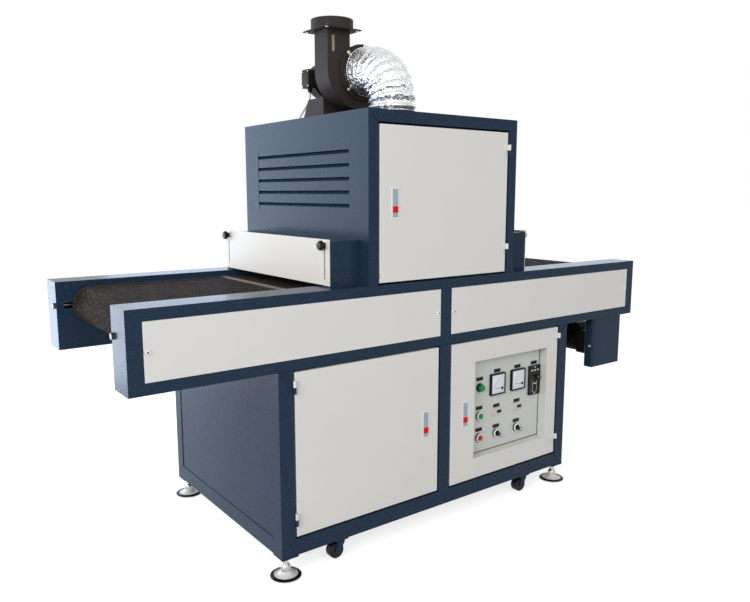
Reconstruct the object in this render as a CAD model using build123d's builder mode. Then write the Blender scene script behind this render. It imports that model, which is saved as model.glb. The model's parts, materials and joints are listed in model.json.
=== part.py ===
"""UV curing tunnel: a mesh-belt dryer with a lamp hood, an extractor blower and a control cabinet.

Millimetres. +X runs along the belt from infeed to outfeed, -Y is the side with the doors,
+Z is up. The origin lies on the floor below the middle of the machine.
"""
import os
from math import cos, radians, sin, tan

from build123d import *

os.makedirs("parts", exist_ok=True)

# Overall sizes
machine_length = 2000.0
machine_width = 750.0
machine_height = 1650.0
belt_height = 790.0
base_clearance = 64.0

# Clearances
door_gap = 6.0
slide_gap = 0.5
pin_gap = 0.1
seat_gap = 0.3

# Conveyor rails, box beams on both sides of the belt
rail_width = 102.0
rail_height = 210.0
rail_above_belt = 18.0
rail_member = 30.0
rail_end_post = 40.0
rail_mid_post = 45.0
rail_edge_round = 1.5
rail_panel_depth = 12.0
rail_panel_gap = 1.0
rail_panel_proud = 1.0

# Belt and rollers
belt_width = 520.0
belt_thickness = 2.0
belt_radius = 56.0
roller_inset = 100.0
roller_shaft_radius = 7.5
shaft_reach = 25.0
slot_height = 19.0
slot_length = 110.0
slot_end = 20.0
take_up_block = 28.0
take_up_rod_radius = 5.0
take_up_head_height = 7.0
take_up_head_radius = 9.0
bed_thickness = 3.0
bed_flange = 28.0
bed_end_gap = 9.0

# Cabinet below the conveyor
cabinet_length = 1206.0
cabinet_post = 45.0
cabinet_mid_post = 44.0
cabinet_bottom_member = 48.0
cabinet_top_member = 45.0
cabinet_sheet = 2.0
door_thickness = 20.0
door_sheet = 1.5
door_edge_round = 2.0
door_angle_backing = 5.0

# Levelling feet
foot_inset = 25.0
foot_disc_radius = 45.0
foot_stem_radius = 7.0
foot_ball_radius = 11.0
foot_nut_height = 10.0
foot_nut_radius = 13.0

# Casters
caster_inset = 203.0
caster_plate = 46.0
caster_plate_thickness = 3.0
caster_wheel_radius = 24.0
caster_wheel_width = 28.0
caster_trail = -13.0
caster_fork_gap = 1.5
caster_fork_sheet = 3.0
caster_pin_radius = 4.0
caster_axle_radius = 3.0
caster_floor_gap = 4.0

# Lamp hood
hood_length = 606.0
hood_post = 35.0
hood_sheet = 2.0
lamp_bar = 30.0
lamp_bar_height = 162.0
louvre_pitch = 39.5
louvre_opening = 11.0
louvre_half_width = 280.0
louvre_margin = 16.0
louvre_field_drop = 98.0
louvre_field_rise = 78.0
louvre_relief = 0.8
louvre_blade = 16.0

# Tunnel boxes and gates at both ends of the hood
box_length = 103.5
box_height = 131.0
box_half_width = 333.0
box_opening_half = 295.0
box_opening_height = 117.0
gate_thickness = 3.0
gate_height = 132.0
gate_lift = 4.0
gate_travel = 95.0
gate_slot_inset = 24.0
gate_slot_drop = 17.0
clamp_stud_radius = 2.8
clamp_knob_radius = 14.0
clamp_knob_length = 20.0

# Lamps over the belt
lamp_count = 2
lamp_pitch = 240.0
reflector_width = 150.0
reflector_height = 100.0
product_height = 150.0
lamp_radius = 9.0
lamp_cap_radius = 12.0
lamp_cap_length = 25.0
reflector_clearance = 5.0
reflector_edge = 6.0
reflector_crown = 25.0

# Latches and hinges
latch_width = 24.0
latch_height = 86.0
latch_recess = 6.0
latch_bezel = 2.0
latch_bezel_thickness = 1.5
latch_wall = 3.0
latch_button_height = 18.0
latch_button_drop = 18.0
hood_latch_inset = 55.0
hood_latch_rise = 231.0
left_latch_inset = 52.0
control_latch_inset = 64.0
base_latch_rise = 233.0
hinge_radius = 4.5
hinge_pin_radius = 2.4
hinge_half = 18.0
hinge_leaf = 14.0
hinge_leaf_thickness = 2.0
hinge_proud = 5.0
base_hinge_low = 53.0
base_hinge_high = 40.0
hood_hinge_low = 75.0
hood_hinge_high = 57.0

# Control panel, a pan behind the window of the right door
window_inner_margin = 106.0
window_outer_margin = 55.0
window_bottom_margin = 70.0
window_top_margin = 69.0
pan_depth = 35.0
pan_sheet = 1.5
pan_flange = 14.0

# Instruments on the pan; columns and rows are shares of the window, or insets from its sides
lamp_column_inset = 57.0
speed_column_inset = 31.0
meter_column_share = 0.391
second_column_share = 0.675
meter_row_share = 0.687
speed_row_share = 0.639
counter_row_share = 0.388
switch_row_share = 0.158
meter_width = 72.0
meter_height = 76.0
meter_depth = 9.0
meter_bezel = 5.0
meter_dial_depth = 2.0
counter_width = 46.0
counter_height = 24.0
counter_depth = 5.0
counter_window_width = 19.0
counter_window_height = 9.0
counter_window_depth = 0.8
counter_window_inset = 13.0
speed_width = 58.0
speed_height = 108.0
speed_depth = 8.0
speed_knob_radius = 9.0
speed_knob_length = 12.0
speed_knob_side = 8.0
speed_knob_rise = 18.0
bezel_radius = 15.0
bezel_depth = 8.0
button_radius = 11.0
button_depth = 4.0
signal_bezel_radius = 14.0
signal_bezel_depth = 6.0
signal_lens_radius = 12.0
signal_lens_depth = 12.0
lever_length = 25.0
lever_width = 9.0
lever_depth = 12.0

# Drive at the outfeed end
drive_inset = 140.0
drive_drop = 111.0
guard_width = 177.0
guard_depth = 40.0
guard_front_inset = 8.0
guard_height = 192.0
guard_round = 9.0
bracket_thickness = 6.0
bracket_margin = 10.0
bracket_foot = 44.0
gearhead_size = 90.0
gearhead_length = 62.0
motor_radius = 44.0
motor_length = 125.0

# Extractor blower on the hood
blower_height = 342.0
fan_x = -10.0
fan_above_hood = 175.0
scroll_front = 60.0
scroll_depth = 80.0
scroll_radius_outlet = 141.0
scroll_radius_tongue = 88.0
outlet_width = 91.0
outlet_wall = 2.0
outlet_flange = 145.0
outlet_flange_thickness = 3.0
outlet_collar_radius = 72.0
outlet_collar_height = 33.0
inlet_ring_radius = 94.0
inlet_ring_thickness = 7.0
inlet_bolt_circle = 86.0
inlet_bolt_radius = 5.0
stand_height = 95.0
stand_half_width = 108.0
stand_top_length = 98.0
stand_foot_length = 150.0
stand_sheet = 3.0
fan_motor_radius = 62.0
fan_motor_length = 180.0
terminal_box_length = 52.0
terminal_box_height = 66.0
terminal_box_reach = 36.0
terminal_box_round = 8.0
terminal_box_offset = 145.0
terminal_box_offset_in = 8.0

# Lead from the terminal box gland to the grommet in the hood top
lead_radius = 3.5
gland_radius = 9.5
gland_nut_height = 8.0
gland_cap_radius = 7.5
gland_cap_height = 6.0
lead_first_run = 22.0
lead_foot_side = -46.0
lead_swing_side = -18.0
lead_swing_fall = 54.0
lead_foot_rise = 37.0
grommet_radius = 9.0
grommet_height = 5.0
grommet_round = 2.0
grommet_gap = 1.0

# Foil duct between the hood and the blower inlet
duct_radius = 79.0
duct_wall = 2.0
duct_bend = 125.0
duct_foot_y = -110.0
spigot_length = 30.0
clamp_band_width = 10.0
clamp_band_thickness = 2.5

# Places that follow from the sizes
half_length = machine_length / 2
half_width = machine_width / 2
rail_top = belt_height + rail_above_belt
rail_bottom = rail_top - rail_height
rail_inner = half_width - rail_width
axle_z = belt_height - belt_radius
axle_x = half_length - roller_inset
roller_radius = belt_radius - belt_thickness - seat_gap
cabinet_half = cabinet_length / 2
cabinet_height = rail_bottom - base_clearance
door_bottom = base_clearance + cabinet_bottom_member + door_gap
door_top = rail_bottom - door_gap
door_outer = cabinet_half - cabinet_post - door_gap
door_inner = cabinet_mid_post / 2 + door_gap
caster_x = cabinet_half - caster_inset
hood_half = hood_length / 2
hood_top = machine_height - blower_height
hood_height = hood_top - rail_top
hood_door_half = hood_half - hood_post - door_gap
hood_door_bottom = rail_top + door_gap
hood_door_top = hood_top - hood_post - door_gap
box_front = hood_half + box_length
box_top = rail_top + box_height
gate_bottom = rail_top + gate_lift
gate_top = gate_bottom + gate_height
gate_face = box_front + slide_gap + gate_thickness
knob_z = gate_top - gate_slot_drop
knob_y = box_half_width - gate_slot_inset
reflector_bottom = belt_height + product_height + reflector_clearance
lamp_bar_bottom = rail_top + lamp_bar_height
lamp_z = lamp_bar_bottom + lamp_bar / 2
lamp_bar_outer = half_width - lamp_bar
lamp_half_length = lamp_bar_outer - lamp_bar
drive_x = half_length - drive_inset
drive_z = rail_bottom - drive_drop
guard_bottom = rail_bottom - guard_height
fan_z = hood_top + fan_above_hood
outlet_left = fan_x - scroll_radius_outlet
outlet_x = outlet_left + outlet_width / 2
scroll_back = scroll_front + scroll_depth
scroll_mid = scroll_front + scroll_depth / 2
outlet_flange_z = machine_height - outlet_collar_height - outlet_flange_thickness
front = Plane(origin=(0, -half_width, 0), x_dir=(1, 0, 0), z_dir=(0, -1, 0))


# Conveyor rails
panel_bottom = rail_bottom + rail_member
panel_top = rail_top - rail_member
panel_inner = rail_mid_post / 2
panel_outer = half_length - rail_end_post
panel_length = panel_outer - panel_inner
panel_x = (panel_inner + panel_outer) / 2
panel_height = panel_top - panel_bottom
panel_z = (panel_bottom + panel_top) / 2
slot_x = -half_length + slot_end + slot_length / 2

with BuildPart() as front_rail:
    with BuildSketch(Plane.XY.offset(rail_bottom)):
        with Locations((0, -half_width + rail_width / 2)):
            Rectangle(machine_length, rail_width)
    extrude(amount=rail_height)
    fillet(front_rail.edges().filter_by(Axis.X), rail_edge_round)
    # Two shallow pockets for the cover panels
    with BuildSketch(front):
        with Locations((-panel_x, panel_z), (panel_x, panel_z)):
            Rectangle(panel_length, panel_height)
    extrude(amount=-rail_panel_depth, mode=Mode.SUBTRACT)
    # Take-up slot at the infeed end, with the bore for its bolt
    with BuildSketch(Plane(origin=(slot_x, -rail_inner, axle_z), x_dir=(1, 0, 0), z_dir=(0, -1, 0))):
        SlotOverall(slot_length, slot_height)
    extrude(amount=take_up_block, mode=Mode.SUBTRACT)
    with BuildSketch(Plane(origin=(-half_length, -rail_inner - take_up_block / 2, axle_z), z_dir=(1, 0, 0))):
        Circle(take_up_rod_radius + pin_gap)
    extrude(amount=slot_end + slot_height / 2, mode=Mode.SUBTRACT)
    # Bearing bore at the outfeed end
    with BuildSketch(Plane(origin=(axle_x, -rail_inner, axle_z), x_dir=(1, 0, 0), z_dir=(0, -1, 0))):
        Circle(roller_shaft_radius + pin_gap)
    extrude(amount=take_up_block, mode=Mode.SUBTRACT)
front_rail.part.label = "front_rail"
export_step(front_rail.part, "parts/front_rail.step")

with BuildPart() as back_rail:
    mirror(front_rail.part, about=Plane.XZ)
back_rail.part.label = "back_rail"
export_step(back_rail.part, "parts/back_rail.step")

with BuildPart() as rail_panels:
    with BuildSketch(front.offset(-rail_panel_depth)):
        with Locations((-panel_x, panel_z), (panel_x, panel_z)):
            Rectangle(panel_length - 2 * rail_panel_gap, panel_height - 2 * rail_panel_gap)
    extrude(amount=rail_panel_depth + rail_panel_proud)
    fillet(rail_panels.faces().sort_by(Axis.Y)[:2].edges(), rail_edge_round / 2)
    mirror(about=Plane.XZ)
rail_panels.part.label = "rail_panels"
export_step(rail_panels.part, "parts/rail_panels.step")

# Take-up bolts: a block that carries the shaft, its rod and a hexagon head outside the rail end
rod_y = rail_inner + take_up_block / 2
with BuildPart() as take_up_bolts:
    with BuildSketch(Plane(origin=(-axle_x, -rail_inner, axle_z), x_dir=(1, 0, 0), z_dir=(0, -1, 0))):
        Rectangle(take_up_block, slot_height - 2 * pin_gap)
    extrude(amount=take_up_block)
    with BuildSketch(Plane(origin=(-half_length - take_up_head_height, -rod_y, axle_z), z_dir=(1, 0, 0))):
        Circle(take_up_rod_radius)
    extrude(amount=roller_inset + take_up_head_height - take_up_block / 2)
    with BuildSketch(Plane(origin=(-half_length, -rod_y, axle_z), z_dir=(-1, 0, 0))):
        RegularPolygon(take_up_head_radius, 6)
    extrude(amount=take_up_head_height)
    with BuildSketch(Plane(origin=(-axle_x, -rail_inner, axle_z), x_dir=(1, 0, 0), z_dir=(0, -1, 0))):
        Circle(roller_shaft_radius + pin_gap)
    extrude(amount=take_up_block, mode=Mode.SUBTRACT)
    mirror(about=Plane.XZ)
take_up_bolts.part.label = "take_up_bolts"
export_step(take_up_bolts.part, "parts/take_up_bolts.step")


# Belt and rollers
with BuildPart() as conveyor_belt:
    with BuildSketch(Plane.XZ.offset(-belt_width / 2)):
        with Locations((0, axle_z)):
            SlotCenterToCenter(2 * axle_x, 2 * belt_radius)
            SlotCenterToCenter(2 * axle_x, 2 * (belt_radius - belt_thickness), mode=Mode.SUBTRACT)
    extrude(amount=belt_width)
conveyor_belt.part.label = "conveyor_belt"
export_step(conveyor_belt.part, "parts/conveyor_belt.step")

with BuildPart() as infeed_roller:
    with BuildSketch(Plane.XZ.offset(-belt_width / 2)):
        with Locations((-axle_x, axle_z)):
            Circle(roller_radius)
    extrude(amount=belt_width)
    chamfer(infeed_roller.edges().filter_by(GeomType.CIRCLE), 2)
    with BuildSketch(Plane.XZ.offset(-rail_inner - shaft_reach)):
        with Locations((-axle_x, axle_z)):
            Circle(roller_shaft_radius)
    extrude(amount=2 * (rail_inner + shaft_reach))
infeed_roller.part.label = "infeed_roller"
export_step(infeed_roller.part, "parts/infeed_roller.step")

with BuildPart() as drive_roller:
    mirror(infeed_roller.part, about=Plane.YZ)
drive_roller.part.label = "drive_roller"
export_step(drive_roller.part, "parts/drive_roller.step")

# Bed that carries the upper run of the belt between the rails
bed_half = axle_x - belt_radius - bed_end_gap
bed_top = belt_height - belt_thickness
with BuildPart() as belt_bed:
    with BuildSketch(Plane.YZ.offset(-bed_half)):
        with Locations((0, bed_top - bed_thickness / 2)):
            Rectangle(2 * rail_inner, bed_thickness)
        with Locations(
            (-rail_inner + bed_thickness / 2, bed_top - bed_flange / 2),
            (rail_inner - bed_thickness / 2, bed_top - bed_flange / 2),
        ):
            Rectangle(bed_thickness, bed_flange)
    extrude(amount=2 * bed_half)
belt_bed.part.label = "belt_bed"
export_step(belt_bed.part, "parts/belt_bed.step")


# Cabinet frame of square tube
post_x = cabinet_half - cabinet_post / 2
post_y = half_width - cabinet_post / 2
top_member_y = half_width - door_thickness - door_angle_backing - cabinet_top_member / 2
side_member_length = machine_width - 2 * cabinet_post
hinge_leaf_x = door_outer + door_gap / 2 + hinge_leaf / 2
hinge_leaf_y = -half_width - hinge_leaf_thickness
base_hinges = (door_bottom + base_hinge_low, door_top - base_hinge_high)

with BuildPart() as base_frame:
    with BuildSketch(Plane.XY.offset(base_clearance)):
        with Locations((-post_x, -post_y), (post_x, -post_y), (-post_x, post_y), (post_x, post_y)):
            Rectangle(cabinet_post, cabinet_post)
        with Locations((0, -post_y), (0, post_y)):
            Rectangle(cabinet_mid_post, cabinet_post)
    extrude(amount=cabinet_height)
    with BuildSketch(Plane.XY.offset(base_clearance)):
        Rectangle(cabinet_length, machine_width)
        Rectangle(cabinet_length - 2 * cabinet_post, machine_width - 2 * cabinet_post, mode=Mode.SUBTRACT)
    extrude(amount=cabinet_bottom_member)
    with BuildSketch(Plane.XY.offset(rail_bottom)):
        with Locations((0, -top_member_y), (0, top_member_y)):
            Rectangle(cabinet_length - 2 * cabinet_post, cabinet_top_member)
        with Locations((-post_x, 0), (post_x, 0)):
            Rectangle(cabinet_post, side_member_length)
    extrude(amount=-cabinet_top_member)
    # Frame halves of the lift-off hinges of both doors
    for side_sign in (-1, 1):
        for hinge_z in base_hinges:
            with BuildSketch(Plane.XY.offset(hinge_z)):
                with Locations((side_sign * hinge_leaf_x, hinge_leaf_y + hinge_leaf_thickness / 2)):
                    Rectangle(hinge_leaf, hinge_leaf_thickness)
                with Locations((side_sign * (door_outer + door_gap / 2), -half_width - hinge_proud)):
                    Circle(hinge_radius)
            extrude(amount=-hinge_half)
            with BuildSketch(Plane.XY.offset(hinge_z)):
                with Locations((side_sign * (door_outer + door_gap / 2), -half_width - hinge_proud)):
                    Circle(hinge_pin_radius)
            extrude(amount=hinge_half)
base_frame.part.label = "base_frame"
export_step(base_frame.part, "parts/base_frame.step")

panel_low = base_clearance + cabinet_bottom_member
panel_high = rail_bottom - cabinet_top_member
with BuildPart() as base_side_panels:
    with BuildSketch(Plane.YZ.offset(-cabinet_half + cabinet_sheet)):
        with Locations((0, (panel_low + panel_high) / 2)):
            Rectangle(side_member_length, panel_high - panel_low)
    extrude(amount=cabinet_sheet)
    mirror(about=Plane.YZ)
base_side_panels.part.label = "base_side_panels"
export_step(base_side_panels.part, "parts/base_side_panels.step")

back_bay_length = cabinet_half - cabinet_post - cabinet_mid_post / 2
back_bay_x = cabinet_mid_post / 2 + back_bay_length / 2
with BuildPart() as base_back_panels:
    with BuildSketch(Plane.XZ.offset(-half_width + cabinet_sheet)):
        with Locations(
            (-back_bay_x, (panel_low + rail_bottom) / 2),
            (back_bay_x, (panel_low + rail_bottom) / 2),
        ):
            Rectangle(back_bay_length, rail_bottom - panel_low)
    extrude(amount=cabinet_sheet)
base_back_panels.part.label = "base_back_panels"
export_step(base_back_panels.part, "parts/base_back_panels.step")

# Floor and top plates of the cabinet
with BuildPart() as base_plates:
    with BuildSketch(Plane.XY.offset(panel_low)):
        Rectangle(cabinet_length - 2 * cabinet_post, side_member_length)
    extrude(amount=-cabinet_sheet)
    with BuildSketch(Plane.XY.offset(rail_bottom)):
        Rectangle(cabinet_length, 2 * rail_inner)
    extrude(amount=cabinet_sheet)
base_plates.part.label = "base_plates"
export_step(base_plates.part, "parts/base_plates.step")

# Levelling feet: pressed disc, ball joint, threaded stem and lock nut
with BuildPart() as levelling_feet:
    with BuildSketch(Plane.XZ):
        with BuildLine():
            Polyline(
                (0, 0),
                (foot_disc_radius, 0),
                (foot_disc_radius, 3),
                (foot_disc_radius - 6, 5),
            )
            Spline(
                (foot_disc_radius - 6, 5),
                (foot_disc_radius - 24, 10),
                (foot_ball_radius + 4, 17),
                tangents=((-1, 0.1), (-1, 0.8)),
            )
            Polyline(
                (foot_ball_radius + 4, 17),
                (foot_ball_radius, 22),
                (foot_stem_radius, 26),
                (foot_stem_radius, base_clearance),
                (0, base_clearance),
                (0, 0),
            )
        make_face()
    revolve(axis=Axis.Z)
    with BuildSketch(Plane.XY.offset(base_clearance)):
        RegularPolygon(foot_nut_radius, 6)
    extrude(amount=-foot_nut_height)
foot_places = GridLocations(2 * (cabinet_half - foot_inset), 2 * (half_width - foot_inset), 2, 2)
with BuildPart() as feet:
    for foot_place in foot_places:
        add(levelling_feet.part.moved(foot_place))
feet.part.label = "levelling_feet"
export_step(feet.part, "parts/levelling_feet.step")


# Casters: a plate with king pin on the frame, a swivelling fork and a wheel
caster_y = half_width - cabinet_post / 2
caster_axle_z = caster_floor_gap + caster_wheel_radius
race_top = base_clearance - caster_plate_thickness
crown_top = race_top - 3
crown_bottom = crown_top - 3.5
caster_corners = {
    "front_left": (-caster_x, -caster_y),
    "front_right": (caster_x, -caster_y),
    "back_left": (-caster_x, caster_y),
    "back_right": (caster_x, caster_y),
}

with BuildPart() as caster_plate_one:
    with BuildSketch(Plane.XY.offset(race_top)):
        RectangleRounded(caster_plate, caster_plate, 4)
    extrude(amount=caster_plate_thickness)
    with BuildSketch(Plane.XY.offset(race_top)):
        Circle(15)
    extrude(amount=-(race_top - crown_top - seat_gap))
    with BuildSketch(Plane.XY.offset(race_top)):
        Circle(caster_pin_radius)
    extrude(amount=-(race_top - crown_bottom + seat_gap + 2))
    with BuildSketch(Plane.XY.offset(crown_bottom - seat_gap)):
        Circle(caster_pin_radius + 2.5)
    extrude(amount=-2)
with BuildPart() as caster_plates:
    for corner_x, corner_y in caster_corners.values():
        add(caster_plate_one.part.moved(Location((corner_x, corner_y, 0))))
caster_plates.part.label = "caster_plates"
export_step(caster_plates.part, "parts/caster_plates.step")

cheek_y = caster_wheel_width / 2 + caster_fork_gap
with BuildPart() as caster_fork:
    with BuildSketch(Plane.XY.offset(crown_bottom)):
        Circle(cheek_y + caster_fork_sheet)
        Circle(caster_pin_radius + pin_gap, mode=Mode.SUBTRACT)
    extrude(amount=crown_top - crown_bottom)
    for cheek_start in (-cheek_y - caster_fork_sheet, cheek_y):
        with BuildSketch(Plane.XZ.offset(-cheek_start - caster_fork_sheet)):
            with Locations((0, crown_bottom + 1)):
                Rectangle(24, 2)
            with Locations((caster_trail, caster_axle_z)):
                Circle(8)
            make_hull()
        extrude(amount=caster_fork_sheet)
    with BuildSketch(Plane.XZ.offset(-cheek_y - caster_fork_sheet - 2)):
        with Locations((caster_trail, caster_axle_z)):
            Circle(caster_axle_radius)
    extrude(amount=2 * (cheek_y + caster_fork_sheet + 2))

with BuildPart() as caster_wheel:
    with BuildSketch(Plane.XZ.offset(-caster_wheel_width / 2)):
        with Locations((caster_trail, caster_axle_z)):
            Circle(caster_wheel_radius)
            Circle(caster_axle_radius + pin_gap, mode=Mode.SUBTRACT)
    extrude(amount=caster_wheel_width)
    rim = caster_wheel.edges().filter_by(GeomType.CIRCLE).sort_by(SortBy.RADIUS)[-2:]
    fillet(rim, 4)

for corner, (corner_x, corner_y) in caster_corners.items():
    fork = caster_fork.part.moved(Location((corner_x, corner_y, 0)))
    fork.label = f"caster_fork_{corner}"
    export_step(fork, f"parts/caster_fork_{corner}.step")
    wheel = caster_wheel.part.moved(Location((corner_x, corner_y, 0)))
    wheel.label = f"caster_wheel_{corner}"
    export_step(wheel, f"parts/caster_wheel_{corner}.step")


# Lamp hood: frame of square tube with bars that carry the lamps
hood_post_x = hood_half - hood_sheet - (hood_post - hood_sheet) / 2
hood_post_y = half_width - hood_post / 2
hood_hinges = (hood_door_bottom + hood_hinge_low, hood_door_top - hood_hinge_high)
hood_pivot_x = hood_door_half + door_gap / 2
with BuildPart() as hood_frame:
    with BuildSketch(Plane.XY.offset(rail_top)):
        with Locations(
            (-hood_post_x, -hood_post_y),
            (hood_post_x, -hood_post_y),
            (-hood_post_x, hood_post_y),
            (hood_post_x, hood_post_y),
        ):
            Rectangle(hood_post - hood_sheet, hood_post)
    extrude(amount=hood_height)
    with BuildSketch(Plane.XY.offset(hood_top)):
        Rectangle(hood_length - 2 * hood_sheet, machine_width)
        Rectangle(hood_length - 2 * hood_post, machine_width - 2 * hood_post, mode=Mode.SUBTRACT)
    extrude(amount=-hood_post)
    with BuildSketch(Plane.XY.offset(lamp_bar_bottom)):
        with Locations((0, -lamp_bar_outer + lamp_bar / 2), (0, lamp_bar_outer - lamp_bar / 2)):
            Rectangle(hood_length - 2 * hood_sheet, lamp_bar)
    extrude(amount=lamp_bar)
    for hinge_z in hood_hinges:
        with BuildSketch(Plane.XY.offset(hinge_z)):
            with Locations((hood_pivot_x + hinge_leaf / 2, hinge_leaf_y + hinge_leaf_thickness / 2)):
                Rectangle(hinge_leaf, hinge_leaf_thickness)
            with Locations((hood_pivot_x, -half_width - hinge_proud)):
                Circle(hinge_radius)
        extrude(amount=-hinge_half)
        with BuildSketch(Plane.XY.offset(hinge_z)):
            with Locations((hood_pivot_x, -half_width - hinge_proud)):
                Circle(hinge_pin_radius)
        extrude(amount=hinge_half)
hood_frame.part.label = "hood_frame"
export_step(hood_frame.part, "parts/hood_frame.step")

# Louvred side sheets with the tunnel opening below
field_top = hood_top - louvre_field_drop
field_bottom = box_top + louvre_field_rise
field_height = field_top - field_bottom
louvre_first = field_top - louvre_margin
louvre_count = int((field_height - 2 * louvre_margin) / louvre_pitch) + 1
with BuildPart() as hood_side_panels:
    with BuildSketch(Plane.YZ.offset(-hood_half)):
        with Locations((0, (rail_top + hood_top) / 2)):
            Rectangle(machine_width, hood_height)
        with Locations((0, rail_top + box_opening_height / 2)):
            Rectangle(2 * box_opening_half, box_opening_height, mode=Mode.SUBTRACT)
    extrude(amount=hood_sheet)
    with BuildSketch(Plane.YZ.offset(-hood_half)):
        with Locations((0, (field_bottom + field_top) / 2)):
            Rectangle(2 * louvre_half_width, field_height)
    extrude(amount=louvre_relief, mode=Mode.SUBTRACT)
    with BuildSketch(Plane.YZ.offset(-hood_half)):
        with Locations((0, louvre_first - (louvre_count - 1) * louvre_pitch / 2)):
            with GridLocations(1, louvre_pitch, 1, louvre_count):
                Rectangle(2 * louvre_half_width, louvre_opening)
    extrude(amount=hood_sheet, mode=Mode.SUBTRACT)
    # Blades lean inwards behind each opening
    for index in range(louvre_count):
        slot_low = louvre_first - index * louvre_pitch - louvre_opening / 2
        with BuildSketch(Plane.XZ.offset(-louvre_half_width)):
            with BuildLine():
                Polyline(
                    (-hood_half + louvre_relief, slot_low),
                    (-hood_half + louvre_relief + louvre_blade, slot_low + louvre_blade),
                    (-hood_half + louvre_relief + louvre_blade, slot_low + louvre_blade - hood_sheet),
                    (-hood_half + hood_sheet, slot_low - 2 * louvre_relief),
                    (-hood_half + louvre_relief, slot_low - 2 * louvre_relief),
                    close=True,
                )
            make_face()
        extrude(amount=2 * louvre_half_width)
    mirror(about=Plane.YZ)
hood_side_panels.part.label = "hood_side_panels"
export_step(hood_side_panels.part, "parts/hood_side_panels.step")

hood_inner_half = hood_half - hood_post
with BuildPart() as hood_back_panel:
    with BuildSketch(Plane.XZ.offset(-half_width + hood_sheet)):
        with Locations((0, (rail_top + hood_top - hood_post) / 2)):
            Rectangle(2 * hood_inner_half, hood_height - hood_post)
    extrude(amount=hood_sheet)
hood_back_panel.part.label = "hood_back_panel"
export_step(hood_back_panel.part, "parts/hood_back_panel.step")

with BuildPart() as hood_top_panel:
    with BuildSketch(Plane.XY.offset(hood_top)):
        Rectangle(2 * hood_inner_half, machine_width - 2 * hood_post)
        with Locations((fan_x, duct_foot_y)):
            Circle(duct_radius - duct_wall - seat_gap - duct_wall, mode=Mode.SUBTRACT)
    extrude(amount=-hood_sheet)
    # Spigot that the foil duct slides over
    with BuildSketch(Plane.XY.offset(hood_top - hood_sheet)):
        with Locations((fan_x, duct_foot_y)):
            Circle(duct_radius - duct_wall - seat_gap)
            Circle(duct_radius - duct_wall - seat_gap - duct_wall, mode=Mode.SUBTRACT)
    extrude(amount=spigot_length + hood_sheet)
hood_top_panel.part.label = "hood_top_panel"
export_step(hood_top_panel.part, "parts/hood_top_panel.step")


# Tunnel boxes at both sides of the hood
with BuildPart() as tunnel_boxes:
    with BuildSketch(Plane.YZ.offset(-box_front)):
        with Locations((0, (rail_top + box_top) / 2)):
            Rectangle(2 * box_half_width, box_height)
        with Locations((0, rail_top + (box_height - hood_sheet) / 2)):
            Rectangle(2 * (box_half_width - hood_sheet), box_height - hood_sheet, mode=Mode.SUBTRACT)
    extrude(amount=box_length)
    with BuildSketch(Plane.YZ.offset(-box_front)):
        with Locations((0, (rail_top + box_top) / 2)):
            Rectangle(2 * box_half_width, box_height)
        with Locations((0, rail_top + box_opening_height / 2)):
            Rectangle(2 * box_opening_half, box_opening_height, mode=Mode.SUBTRACT)
        with Locations((-knob_y, knob_z), (knob_y, knob_z)):
            Circle(clamp_stud_radius + pin_gap, mode=Mode.SUBTRACT)
    extrude(amount=hood_sheet)
    mirror(about=Plane.YZ)
tunnel_boxes.part.label = "tunnel_boxes"
export_step(tunnel_boxes.part, "parts/tunnel_boxes.step")

# Gates: sheets with two vertical slots, held by clamp knobs
with BuildPart() as infeed_gate:
    with BuildSketch(Plane.YZ.offset(-gate_face)):
        with Locations((0, (gate_bottom + gate_top) / 2)):
            Rectangle(2 * box_half_width, gate_height)
        with Locations((-knob_y, knob_z - gate_travel / 2), (knob_y, knob_z - gate_travel / 2)):
            SlotCenterToCenter(gate_travel, 2 * clamp_stud_radius + 0.6, rotation=90, mode=Mode.SUBTRACT)
    extrude(amount=gate_thickness)
    fillet(infeed_gate.faces().sort_by(Axis.X)[0].outer_wire().edges(), 1)
infeed_gate.part.label = "infeed_gate"
export_step(infeed_gate.part, "parts/infeed_gate.step")

with BuildPart() as outfeed_gate:
    mirror(infeed_gate.part, about=Plane.YZ)
outfeed_gate.part.label = "outfeed_gate"
export_step(outfeed_gate.part, "parts/outfeed_gate.step")

with BuildPart() as gate_clamps:
    for clamp_y in (-knob_y, knob_y):
        # Knob outside the gate
        with BuildSketch(Plane(origin=(-gate_face - slide_gap, clamp_y, knob_z), z_dir=(-1, 0, 0))):
            Circle(clamp_knob_radius)
        extrude(amount=clamp_knob_length, taper=-4)
        # Stud through the slot and nut behind the box flange
        with BuildSketch(Plane(origin=(-gate_face - slide_gap, clamp_y, knob_z), z_dir=(1, 0, 0))):
            Circle(clamp_stud_radius)
        extrude(amount=gate_thickness + 2 * slide_gap + hood_sheet + 5)
        with BuildSketch(Plane(origin=(-box_front + hood_sheet, clamp_y, knob_z), z_dir=(1, 0, 0))):
            RegularPolygon(6, 6)
        extrude(amount=5)
    fillet(gate_clamps.faces().sort_by(Axis.X)[:2].edges(), 4)
    mirror(about=Plane.YZ)
gate_clamps.part.label = "gate_clamps"
export_step(gate_clamps.part, "parts/gate_clamps.step")


# Lamps: arched reflectors across the belt, with a tube in each
with BuildPart() as lamp_reflectors:
    with BuildSketch(Plane.XZ.offset(-lamp_half_length)):
        with Locations((0, reflector_bottom + reflector_height / 2)):
            with GridLocations(lamp_pitch, 1, lamp_count, 1):
                Rectangle(reflector_width, reflector_height)
        with Locations((0, reflector_bottom)):
            with GridLocations(lamp_pitch, 1, lamp_count, 1):
                Ellipse(
                    reflector_width / 2 - reflector_edge,
                    reflector_height - reflector_crown,
                    mode=Mode.SUBTRACT,
                )
    extrude(amount=2 * lamp_half_length)
lamp_reflectors.part.label = "lamp_reflectors"
export_step(lamp_reflectors.part, "parts/lamp_reflectors.step")

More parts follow.
